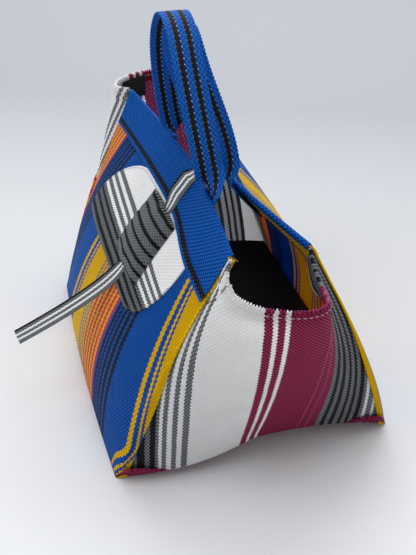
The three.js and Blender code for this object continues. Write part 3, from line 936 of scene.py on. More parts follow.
def stitch_line(points: Points, normals: Points, length: float,
                spacing: float) -> tuple[Points, Points, Points]:
    """Spreads stitches along a line.

    Args:
        points: the line on the cloth.
        normals: the way out of the cloth at each point.
        length: a stitch's length.
        spacing: from one stitch to the next.

    Returns:
        The middle, direction and outward way of each stitch.
    """
    reach = path_length(points)
    count = max(2, int(reach[-1] / spacing))
    at = (np.arange(count) + 0.5) * reach[-1] / count
    ahead = part_way(points, reach, np.minimum(at + length / 2, reach[-1]))
    behind = part_way(points, reach, np.maximum(at - length / 2, 0))
    return part_way(points, reach, at), ahead - behind, unit(part_way(normals, reach, at))


MAT_PATTERN = (
    (0.0, Yarn.BLUE),
    (51.3, Yarn.BLACK), (57.0, Yarn.BLUE), (61.8, Yarn.BLACK), (67.8, Yarn.BLUE), (72.1, Yarn.BLACK),
    (77.0, Yarn.BLUE), (81.0, Yarn.BLACK), (85.1, Yarn.BLUE), (88.5, Yarn.BLACK), (93.3, Yarn.BLUE),
    (97.5, Yarn.RED), (102.1, Yarn.YELLOW), (106.8, Yarn.RED), (111.4, Yarn.YELLOW), (116.1, Yarn.RED),
    (120.7, Yarn.YELLOW), (125.4, Yarn.RED), (130.0, Yarn.YELLOW), (134.7, Yarn.RED), (139.3, Yarn.YELLOW),
    (144.0, Yarn.RED), (148.6, Yarn.YELLOW),
    (154.3, Yarn.BLUE), (156.8, Yarn.YELLOW), (161.3, Yarn.BLUE), (163.8, Yarn.YELLOW), (168.3, Yarn.BLUE),
    (170.8, Yarn.YELLOW), (203.5, Yarn.BLUE), (207.0, Yarn.YELLOW), (210.7, Yarn.BLUE), (217.7, Yarn.YELLOW),
)
MAT_REPEAT = 224.3

GUSSET_PATTERN = (
    (-122.0, Yarn.BLACK), (-118.0, Yarn.GREY), (-114.5, Yarn.BLACK), (-107.5, Yarn.GREY),
    (-103.5, Yarn.BLACK), (-98.5, Yarn.GREY), (-95.8, Yarn.WHITE), (-92.8, Yarn.GREY), (-88.8, Yarn.WHITE),
    (-84.5, Yarn.GREY), (-80.2, Yarn.WHITE), (-76.0, Yarn.GREY), (-70.8, Yarn.WHITE),
    (-19.5, Yarn.MAROON), (-13.0, Yarn.WHITE), (-9.3, Yarn.MAROON), (-4.2, Yarn.WHITE), (-0.8, Yarn.MAROON),
    (38.0, Yarn.ROSE), (38.7, Yarn.MAROON), (46.0, Yarn.ROSE), (46.7, Yarn.MAROON), (55.5, Yarn.GREY),
    (60.3, Yarn.BLACK), (65.0, Yarn.GREY), (69.2, Yarn.BLACK), (73.5, Yarn.GREY),
    (78.5, Yarn.BLACK), (81.8, Yarn.GREY), (86.0, Yarn.BLACK), (89.5, Yarn.GREY), (93.5, Yarn.BLACK),
    (98.0, Yarn.GREY), (102.0, Yarn.WHITE), (105.5, Yarn.GREY), (111.0, Yarn.WHITE), (114.0, Yarn.GREY),
    (121.0, Yarn.WHITE),
)

# The far end wall is the same cloth, but past FAR_CHANGE its grey ground is drawn lighter grey and its last
# grey stripes white, so the inside seen through the mouth looks lit: painted light
FAR_CHANGE = 73.5
FAR_GUSSET_PATTERN = tuple(stripe for stripe in GUSSET_PATTERN if stripe[0] < FAR_CHANGE) + (
    (FAR_CHANGE, Yarn.PALE_GREY), (78.5, Yarn.BLACK), (81.8, Yarn.PALE_GREY), (86.0, Yarn.BLACK),
    (89.5, Yarn.PALE_GREY), (93.5, Yarn.BLACK), (98.0, Yarn.WHITE),
)

LEAF_PATTERN = (
    (20.0, Yarn.WHITE), (62.3, Yarn.GREY), (67.5, Yarn.WHITE), (72.0, Yarn.GREY), (76.3, Yarn.WHITE),
    (80.7, Yarn.GREY), (86.0, Yarn.WHITE), (90.0, Yarn.GREY), (95.0, Yarn.BLACK), (98.2, Yarn.GREY),
    (103.3, Yarn.BLACK), (107.2, Yarn.GREY), (113.0, Yarn.BLACK), (117.8, Yarn.GREY), (123.3, Yarn.BLACK),
)

KEEPER_PATTERN = (
    (30.0, Yarn.GREY), (40.0, Yarn.BLACK), (43.2, Yarn.GREY), (49.3, Yarn.BLACK), (52.3, Yarn.GREY),
    (60.0, Yarn.BLACK), (63.4, Yarn.GREY), (70.0, Yarn.BLACK), (72.8, Yarn.GREY), (80.5, Yarn.BLACK),
    (83.8, Yarn.GREY), (90.0, Yarn.BLACK), (92.8, Yarn.GREY), (98.5, Yarn.BLACK),
)

STRAP_PATTERN = (
    (-9.0, Yarn.BLACK), (-5.4, Yarn.GREY), (-2.9, Yarn.WHITE), (-0.9, Yarn.GREY), (1.6, Yarn.WHITE),
    (3.7, Yarn.GREY),
)

BASE_PATTERN = ((-200.0, Yarn.MAROON),)
BAND_PATTERN = ((-5.0, Yarn.BLUE), (2.4, Yarn.BLACK), (6.9, Yarn.BLUE), (48.0, Yarn.YELLOW))


class Wardrobe:
    """Every finish of the bag, made once."""

    def __init__(self) -> None:
        """Makes the finishes."""
        # Woven polypropylene mat: satin yarn whose rows catch the light; the stripes meet in small teeth.
        # The weave of mats, bands and webbing is drawn coarser than the real yarn, so that it shows
        self.wall_mat = StripedMat("woven polypropylene mat, striped", MAT_PATTERN, end=MAT_REPEAT,
                                   repeats=True).build()
        end_mat = StripedMat("woven polypropylene mat, white", GUSSET_PATTERN, end=170.0, tooth=0.45,
                             painted_shine=0.035, depth_of_shade=0.88, peak=1.8, pale_share=0.2)
        self.near_gusset_mat = end_mat.build()
        self.far_gusset_mat = replace(end_mat, name="woven polypropylene mat, white and plain",
                                      stripes=FAR_GUSSET_PATTERN).build()
        self.base_mat = StripedMat("woven polypropylene mat, maroon", BASE_PATTERN, end=200.0).build()
        self.leaf_mat = StripedMat("woven polypropylene mat, white and grey", LEAF_PATTERN, end=140.0,
                                   run=StripeRun.DOWN, tooth=0.5, glow=0.15).build()
        self.keeper_mat = StripedMat("woven polypropylene mat, grey", KEEPER_PATTERN, end=120.0,
                                     run=StripeRun.DOWN, tooth=0.3, wander=0.5).build()
        self.strap_mat = StripedMat("woven polypropylene tape, grey and white", STRAP_PATTERN, end=9.0,
                                    tooth=0.12, wander=0.3, relief=0.3, glow=0.15, depth_of_shade=0.3).build()
        # Woven polypropylene band: bolder rows than the mat, with a black line and a yellow raw edge
        self.band_cloth = StripedMat("woven polypropylene band, blue", BAND_PATTERN, end=80.0,
                                     run=StripeRun.DOWN, row_pitch=2.6, float_pitch=1.9, tooth=0.35,
                                     wander=0.4, relief=0.8, depth_of_shade=0.88, peak=1.8).build()
        # Woven polypropylene webbing: thick and matt, with ribs that break up the light
        self.webbing = LinedWebbing().build()
        # Black polypropylene sheet over the floor inside, its black partly the lining's own and partly
        # painted shade of the deep inside: matt and almost even, so that the floor reads as one dark plane
        self.black_sheet = PlainSheet("matt polypropylene sheet, black", Yarn.BLACK, roughness=0.55).build()
        # Woven polyester tape: a soft black without shine
        self.black_tape = PlainSheet("woven polyester tape, black", Yarn.BLACK, grain=0.6,
                                     roughness=0.8).build()
        # Spun polyester thread: matt, a little fuzzy
        thread = PlainSheet("spun polyester thread, beige", Yarn.BEIGE, grain=0.5, roughness=0.75)
        self.beige_thread = thread.build()
        self.blue_thread = replace(thread, name="spun polyester thread, blue", colour=Yarn.DEEP_BLUE).build()
        self.grey_thread = replace(thread, name="spun polyester thread, grey", colour=Yarn.GREY).build()
        # Frayed polypropylene yarn: split ends, a little smoother than the thread
        self.yellow_thread = PlainSheet("frayed polypropylene yarn, yellow", Yarn.YELLOW, grain=0.5,
                                        roughness=0.6).build()


@dataclass
class SewnBody:
    """The five mats of the bag: base, front, back and the two ends with their rims."""

    form: BagForm
    finishes: Wardrobe
    front_lap: float = 7.5
    other_lap: float = 5.0
    hem_depth: float = 11.0
    hem_face: float = 2.7
    hem_flare: float = 5.0
    columns: int = 121
    rows: int = 64
    gusset_columns: int = 121
    front_flap: float = 12.5
    back_flap: float = 12.0
    near_fan: float = 0.00175
    near_fan_drop: float = 148.6
    far_fan: float = 0.0012
    far_fan_drop: float = 140.0
    fan_x: float = 57.0
    blue_edge: float = 154.8
    back_pattern_shift: float = -2.0
    near_yellow: float = 200.0
    yellow_middle: float = 187.0
    lap_columns: int = 5
    lap_stretch: float = 1.85
    gusset_drift: float = 15.0
    gusset_drift_power: float = 1.4
    near_inside_shift: float = 17.0
    far_inside_shift: float = 4.0
    tooth_pitch: float = 2.5
    hem_rows: int = 6
    flap_from: float = 52.0
    flap_start: float = 81.0
    flap_rate: float = 2.0
    flap_run: float = 6.0
    squeeze: float = 0.42
    squeeze_from: float = -75.0
    base_columns: int = 97
    base_rows: int = 81
    corner_from: float = 0.6
    corner_run: float = 0.3
    corner_end: float = 0.06
    lip: float = 0.4
    lip_at_corner: float = 2.2
    lip_per_rise: float = 0.35
    lip_slope: float = 1.2
    foot_curl: float = 0.0034
    foot_curl_drop: float = 150.0
    foot_curl_run: float = 110.0
    corner_swing: float = 30.0
    corner_swing_drop: float = 200.0
    corner_swing_drop_run: float = 45.0
    corner_swing_x: float = 120.0
    corner_swing_x_run: float = 35.0
    least_lap: float = 1.6
    lap_from: float = 45.0
    lap_run: float = 130.0
    lap_first: float = 0.25
    seam_gap: float = 0.6
    seam_width: float = 110.0
    wall_rows: int = 56
    fold_rows: int = 6
    fold_core: float = 0.15
    fold_start: float = 1.0
    flare_from: float = 0.5
    flare_run: float = 0.3
    flare_power: float = 1.3
    inside_from: float = 35.0
    inside_run: float = 30.0
    tooth_seat: float = 0.75
    tooth_lift: float = 0.8
    tooth_length: tuple[float, float] = (0.7, 0.95)
    tooth_width: float = 0.85
    tooth_height: tuple[float, float] = (1.6, 2.3)
    tooth_seeds: tuple[int, int] = (7, 8)
    rim_points: int = 801
    rim_cloth_points: int = 241
    wall_probe: float = 4.0

    def build(self) -> list[Piece]:
        """Makes the five mats and the teeth of the rims.

        Returns:
            The pieces.
        """
        return [self._base(), self._wall(Side.FRONT), self._wall(Side.BACK),
                *self._gusset(End.NEAR), *self._gusset(End.FAR)]

    def _base(self) -> Piece:
        """Makes the base mat, whose ends stand out a little below the end walls.

        Returns:
            The base.
        """
        form = self.form
        flat = np.linspace(-1, 1, self.base_columns)
        steps = np.array([1.0, 0.66, 0.33])
        out = np.concatenate([steps, 0 * flat, steps[::-1]])
        along = np.concatenate([-np.ones(len(steps)), flat, np.ones(len(steps))])
        across = np.linspace(-1, 1, self.base_rows)
        s, a = np.meshgrid(along, across, indexing="ij")
        half_mat = form.mat / 2
        y = a * (form.base_width / 2 + half_mat) - form.front_foot_bow * (1 - s**2) * np.maximum(0, -a)
        inward = smooth_step((np.abs(a) - self.corner_from) / self.corner_run)
        corner = inward * smooth_step((1 - np.abs(a)) / self.corner_end) * (s > 0)
        rise = np.where(a < 0, self.front_flap, self.back_flap) * corner
        lip = out[:, None] * (self.lip + self.lip_at_corner * corner + self.lip_per_rise * rise)
        x = s * (form.base_length / 2 + half_mat + form.foot_bow(y)) + np.sign(s) * lip
        low = form.base_height(s * form.base_length / 2, y) + out[:, None] * rise
        under = np.stack([x, y, low], axis=-1)
        slope = np.array([self.lip_slope, 0, 0]) * (out**2)[:, None, None]
        over = under + np.array([0, 0, form.mat]) - np.sign(s)[..., None] * slope
        base = sewn_sheet("base_mat", over, under, np.stack([x, y], axis=-1), self.finishes.base_mat)
        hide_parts("base_panel")
        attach(base, "bag")
        return base

    def wall_cloth(self, side: Side, x: Points, drop: Points) -> Points:
        """Places on the flat cloth of a long wall, counted from the wide blue stripe towards the far end.

        Args:
            side: front or back.
            x: places along the wall.
            drop: drops below the top edge.

        Returns:
            The places.
        """
        near = 1 + self.near_fan * (drop - self.near_fan_drop)
        far = 1 + self.far_fan * (drop - self.far_fan_drop)
        level = self.fan_x + (x - self.fan_x) / np.where(x > self.fan_x, near, far)
        if side is Side.FRONT:
            low = np.maximum(0, drop - self.foot_curl_drop)
            level = level + self.foot_curl * low**2 * smooth_step(-x / self.foot_curl_run)
            foot = smooth_step((drop - self.corner_swing_drop) / self.corner_swing_drop_run)
            by_seam = smooth_step((x - self.corner_swing_x) / self.corner_swing_x_run)
            level = np.minimum(level + self.corner_swing * foot * by_seam, self.near_yellow)
            start = self.blue_edge
        else:
            level = level - self.squeeze * np.maximum(0, self.squeeze_from - x)
            start = self.blue_edge + self.back_pattern_shift
        return np.stack([start - level, drop], axis=-1)

    def _wall(self, side: Side) -> Piece:
        """Makes the front or the back mat, which laps round the corner seams onto the end mats.

        Args:
            side: front or back.

        Returns:
            The mat.
        """
        form = self.form
        drop = np.linspace(0, form.foot_drop, self.rows)
        s, d = np.meshgrid(np.linspace(-1, 1, self.columns), drop, indexing="ij")
        x = s * form.half_length(form.share_at(d))
        outer = form.on_wall(side, x, d, form.mat / 2 + form.foot_step(d))
        inner = form.on_wall(side, x, d, -form.mat / 2)
        far, near = self._lap(side, End.FAR, drop), self._lap(side, End.NEAR, drop)
        outer = np.concatenate([far[0][::-1], outer, near[0]])
        inner = np.concatenate([far[1][::-1], inner, near[1]])
        x = np.concatenate([far[2][::-1], x, near[2]])
        cloth = self.wall_cloth(side, x, np.broadcast_to(drop, x.shape))
        if side is Side.BACK:
            cloth[-self.lap_columns:, :, 0] = self.yellow_middle
        name = side.name.lower()
        mat = sewn_sheet(f"{name}_mat", outer, inner, cloth, self.finishes.wall_mat)
        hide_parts(f"{name}_panel")
        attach(mat, "bag")
        return mat

    def _lap(self, side: Side, end: End, drop: Points) -> tuple[Points, Points, Points]:
        """Works out the part of a long wall's mat that laps round one corner.

        Args:
            side: front or back.
            end: near or far.
            drop: drops below the top edge.

        Returns:
            Outer points, inner points, and places along the wall as its stripes count them.
        """
        form = self.form
        most = self.front_lap if (side, end) == (Side.FRONT, End.NEAR) else self.other_lap
        width = self.least_lap + most * smooth_step((drop - self.lap_from) / self.lap_run)
        share = form.share_at(drop)
        step = 0.02
        seam = form.gusset_point(end, side.value, share)
        beside = form.gusset_point(end, side.value * (1 - step), share)
        per_turn = np.linalg.norm(beside - seam, axis=-1) / step
        reach = np.linspace(self.lap_first, 1, self.lap_columns)[:, None] * width[None]
        turn = side.value * (1 - reach / per_turn[None])
        grid = np.broadcast_to(drop, reach.shape)
        low = form.mat / 2 + form.gap
        x = end.value * (form.half_length(share)[None] + self.lap_stretch * reach)
        return form.on_gusset(end, turn, grid, low + form.mat), form.on_gusset(end, turn, grid, low), x

    def _gusset(self, end: End) -> list[Piece]:
        """Makes an end mat that folds in at its rim, and the teeth that the fold shows.

        Args:
            end: near or far.

        Returns:
            The mat and its teeth.
        """
        form = self.form
        half_mat = form.mat / 2
        turn = np.linspace(-1, 1, self.gusset_columns)
        edge = 1 - (half_mat + self.seam_gap) / self.seam_width
        fold_middle = (half_mat - self.hem_face) / 2
        fold_out = (half_mat + self.hem_face) / 2
        outer_profile = np.vstack([straight_run(form.foot_drop, 0, self.wall_rows, half_mat),
                                   over_edge(fold_middle, fold_out, self.fold_rows),
                                   straight_run(0, self.hem_depth, self.hem_rows, -self.hem_face)])
        inner_profile = np.vstack([
            straight_run(form.foot_drop, self.fold_start, self.wall_rows, -half_mat),
            over_edge(fold_middle, self.fold_core, self.fold_rows),
            straight_run(self.fold_start, self.hem_depth, self.hem_rows, form.mat - self.hem_face)])

        def place(t: Points, drop: Points, distance: Points) -> Points:
            """Points beside the wall, between its seams."""
            return form.on_gusset(end, t * edge, drop, distance)

        outer_profile[:, 1] += form.foot_step(outer_profile[:, 0])
        most = self.hem_flare if end is End.NEAR else 0.0
        flare = most * smooth_step((turn - self.flare_from) / self.flare_run)
        outer = profiled(place, turn, self._flared(outer_profile, flare))
        inner = profiled(place, turn, self._flared(inner_profile, flare))
        cloth = self._gusset_cloth(end, turn * edge, outer_profile[:, 0])
        if end is End.NEAR:
            # The loose flap at the back corner is twisted, so the stripes run along it
            rows = self.hem_rows
            loose = smooth_step((cloth[:, -rows:-rows + 1, 0] - self.flap_from) / self.flap_run)
            run = self.flap_start + self.flap_rate * outer_profile[-rows:, 0]
            cloth[:, -rows:, 0] += loose * (run[None] - cloth[:, -rows:, 0])
        shift = self.near_inside_shift if end is End.NEAR else self.far_inside_shift
        inside = cloth.copy()
        inside[..., 0] += shift * smooth_step((cloth[..., 0] - self.inside_from) / self.inside_run)
        mat = sewn_sheet(f"{end.name.lower()}_end_mat", outer, inner, cloth, self._gusset_mat(end), inside)
        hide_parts(f"{end.name.lower()}_gusset")
        teeth = self._teeth(end, edge, fold_middle, fold_out)
        for piece in (mat, teeth):
            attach(piece, "bag")
        return [mat, teeth]

    def _gusset_mat(self, end: End) -> Material:
        """Cloth that an end wall is cut from."""
        return self.finishes.near_gusset_mat if end is End.NEAR else self.finishes.far_gusset_mat

    def _flared(self, profile: Points, flare: Points) -> Points:
        """Lets the loose edge of a hem stand off the wall.

        Args:
            profile: rows of drop and distance.
            flare: how far the edge stands off at each station.

        Returns:
            One such profile for each station.
        """
        lists = np.repeat(profile[None], len(flare), axis=0)
        hem = np.zeros(len(profile))
        hem[-self.hem_rows:] = (profile[-self.hem_rows:, 0] / self.hem_depth)**self.flare_power
        lists[:, :, 1] -= flare[:, None] * hem[None]
        return lists

    def _gusset_cloth(self, end: End, turn: Points, drop: Points) -> Points:
        """Places on the flat cloth of an end wall, measured along each row from its middle.

        Args:
            end: near or far.
            turn: places from seam to seam.
            drop: drops below the rim.

        Returns:
            The places.
        """
        t, d = np.meshgrid(turn, np.maximum(drop, 0), indexing="ij")
        points = self.form.gusset_point(end, t, self.form.share_at(d))
        steps = np.linalg.norm(np.diff(points, axis=0), axis=-1)
        reach = np.concatenate([np.zeros((1, steps.shape[1])), np.cumsum(steps, axis=0)])
        reach = reach - reach[len(turn) // 2]
        share = np.clip(self.form.share_at(d), 0, 1)
        return np.stack([reach + self.gusset_drift * share**self.gusset_drift_power,
                         np.broadcast_to(drop, d.shape)], axis=-1)

    def _teeth(self, end: End, edge: float, fold_middle: float, fold_out: float) -> Piece:
        """Makes the loops of yarn that stand along the fold of a rim.

        Args:
            end: near or far.
            edge: how near the seams the rim runs.
            fold_middle: the middle of the fold, from the wall's middle.
            fold_out: half the fold's thickness.

        Returns:
            The teeth as one piece.
        """
        turn = np.linspace(-edge, edge, self.rim_points)
        line = self.form.on_gusset(end, turn, -fold_out * self.tooth_seat, fold_middle)
        below = self.form.on_gusset(end, turn, self.wall_probe, fold_middle)
        reach = path_length(line)
        count = int(reach[-1] / self.tooth_pitch)
        at = (np.arange(count) + 0.5) * reach[-1] / count
        rng = np.random.default_rng(self.tooth_seeds[0 if end is End.NEAR else 1])
        turns = np.interp(at, reach, turn)
        centre = part_way(line, reach, at)
        along = np.gradient(centre, axis=0)
        up = unit(centre - part_way(below, reach, at))
        centre = centre + up * rng.uniform(0.0, self.tooth_lift, (count, 1))
        size = np.stack([rng.uniform(*self.tooth_length, count), np.full(count, fold_out * self.tooth_width),
                         rng.uniform(*self.tooth_height, count)], axis=1)
        full = np.linspace(-edge, edge, self.rim_cloth_points)
        known = self._gusset_cloth(end, full, np.array([0.0]))[:, 0, 0]
        cloth = np.stack([np.interp(turns, full, known), np.zeros(count)], axis=1)
        return beads(f"{end.name.lower()}_rim_teeth", centre, along, up, size, cloth, self._gusset_mat(end))


@dataclass
class TopBands:
    """The two bands folded over the top edges of the front and the back."""

    form: BagForm
    finishes: Wardrobe
    outside: float = 36.0
    near_extra: float = 9.0
    inside: float = 17.0
    face: float = 2.3
    thickness: float = 1.2
    leaf_step: float = 1.4
    step_lead: float = 2.0
    step_run: float = 4.0
    end_inset: float = 3.0
    extra_from: float = 45.0
    extra_run: float = 90.0
    middle_drop: float = 20.0
    columns: int = 121
    outside_rows: int = 22
    fold_rows: int = 7
    inside_rows: int = 10
    cloth_past_fold: float = 24.2

    def depth(self, side: Side, x: Points) -> Points:
        """Depth of a band outside, which grows a little towards the near end of the front."""
        most = self.near_extra if side is Side.FRONT else 0.0
        return self.outside + most * smooth_step((x - self.extra_from) / self.extra_run)

    def leaf_lift(self, drop: Points) -> Points:
        """How far a band stands out where it covers the leaf's upper edge."""
        return self.leaf_step * smooth_step((drop - self.outside + self.step_lead) / self.step_run)

    def build(self) -> list[Piece]:
        """Makes both bands.

        Returns:
            The bands.
        """
        return [self._band(side) for side in Side]

    def _band(self, side: Side) -> Piece:
        """Makes one band.

        Args:
            side: front or back.

        Returns:
            The band.
        """
        form = self.form
        share = np.linspace(-1, 1, self.columns)
        half = form.half_length(form.share_at(self.middle_drop)) - self.end_inset
        depth = self.depth(side, share * half)

        def profile(distance: float) -> Points:
            """Lays the band over the top edge.

            Args:
                distance: from the wall's middle.

            Returns:
                Rows of drop and distance for each station.
            """
            fold = over_edge(0.0, distance, self.fold_rows)
            inside = straight_run(0, self.inside, self.inside_rows, -distance)
            lists = []
            for deep in depth:
                outside = straight_run(deep, 0, self.outside_rows, distance)
                outside[:, 1] += self.leaf_lift(outside[:, 0])
                lists.append(np.vstack([outside, fold, inside]))
            return np.array(lists)

        def place(s: Points, drop: Points, distance: Points) -> Points:
            """Points beside the wall, a little short of its ends."""
            reach = form.half_length(form.share_at(drop)) - self.end_inset
            return form.on_wall(side, s * reach, drop, distance)

        outer_profile = profile(self.face)
        outer = profiled(place, share, outer_profile)
        inner = profiled(place, share, profile(self.face - self.thickness))
        down = np.linalg.norm(np.diff(outer_profile, axis=1), axis=-1)
        run = np.concatenate([np.zeros((len(share), 1)), np.cumsum(down, axis=1)], axis=1)
        run = run * ((self.outside + self.cloth_past_fold) / run[:, -1:])
        x = np.broadcast_to((share * half)[:, None], run.shape)
        band = sewn_sheet(f"{side.name.lower()}_top_band", outer, inner, np.stack([x, run], axis=-1),
                          self.finishes.band_cloth)
        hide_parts(f"{side.name.lower()}_band")
        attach(band, "bag")
        return band


@dataclass
class Handle:
    """One webbing handle: both sewn ends and the loop in one length."""

    form: BagForm
    finishes: Wardrobe
    side: Side
    half_spacing: float
    height: float
    crown_y: float
    width: float = 25.0
    thickness: float = 2.0
    depth: float = 3.6
    sewn: float = 34.0
    root_rise: float = 8.0
    flex_gap: float = 0.4
    lean_out: float = 0.0
    lean_height: float = 120.0
    near_twist: tuple[float, float] = (-6.0, 20.0)
    far_twist: tuple[float, float] = (-7.0, 9.0)
    lean_power: float = 0.6
    ribs: int = 5
    columns: int = 25
    selvedge: float = 0.35
    bend_below: float = 3.5
    bend_above: float = 4.5
    loop_points: int = 401
    sewn_points: int = 30
    points: int = 420
    root_gap: float = 1.5
    root_points: int = 3
    softenings: int = 3

    def build(self) -> Piece:
        """Makes the handle as one strap along its line.

        Returns:
            The handle.
        """
        name = self.side.name.lower()
        middle, wide, hinge = self._line()
        handle = flat_strap(f"{name}_webbing_handle", middle, wide, self.width, self.thickness,
                            self.finishes.webbing, self.columns, self.ribs, self.selvedge)
        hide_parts(f"{name}_handle", f"{name}_handle_near_end", f"{name}_handle_far_end")
        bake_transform(handle)
        return handle

    def _line(self) -> tuple[Points, Points, Points]:
        """Works out the handle's middle line.

        Returns:
            Its points, the direction of its width at each, and the point at the foot of its loop.
        """
        form, side = self.form, self.side
        drop = -self.root_rise - self.flex_gap / 2
        hinge = form.on_wall(side, form.pinch_x + self.half_spacing, drop, -self.depth + self.thickness / 2)
        root_y = hinge[1] - side.value * self.thickness / 2
        foot = hinge[2] + self.flex_gap / 2
        k = np.linspace(0, 1, self.loop_points)
        up = np.sin(math.pi * k)
        loop = np.stack([form.pinch_x - self.half_spacing * np.cos(math.pi * k),
                         root_y + (self.crown_y - root_y) * smooth_step(up),
                         foot + (self.height - self.thickness / 2 - foot) * up], axis=1)
        risen = np.clip((loop[:, 2] - foot) / self.lean_height, 0, 1)
        loop[:, 1] += side.value * self.lean_out * np.sin(math.pi * risen**self.lean_power)
        drops = np.linspace(self.sewn, -self.root_rise + self.root_gap, self.sewn_points)
        far = form.on_wall(side, form.pinch_x - self.half_spacing, drops, -self.depth)
        near = form.on_wall(side, form.pinch_x + self.half_spacing, drops, -self.depth)
        skip = self.root_points
        middle = even_path(np.vstack([far, loop[skip:-skip], near[::-1]]), self.points)
        for _ in range(self.softenings):
            middle[1:-1] = (middle[:-2] + 2 * middle[1:-1] + middle[2:]) / 4
        lean = np.sign(middle[:, 0] - form.pinch_x)
        low = np.where(lean > 0, self.near_twist[0], self.far_twist[0])
        high = np.where(lean > 0, self.near_twist[1], self.far_twist[1])
        twist = math.pi / 2 * smooth_step((middle[:, 2] - foot - low) / (high - low))
        wide = np.stack([np.cos(twist) * lean, np.sin(twist), 0 * twist], axis=1)
        return middle, wide, hinge


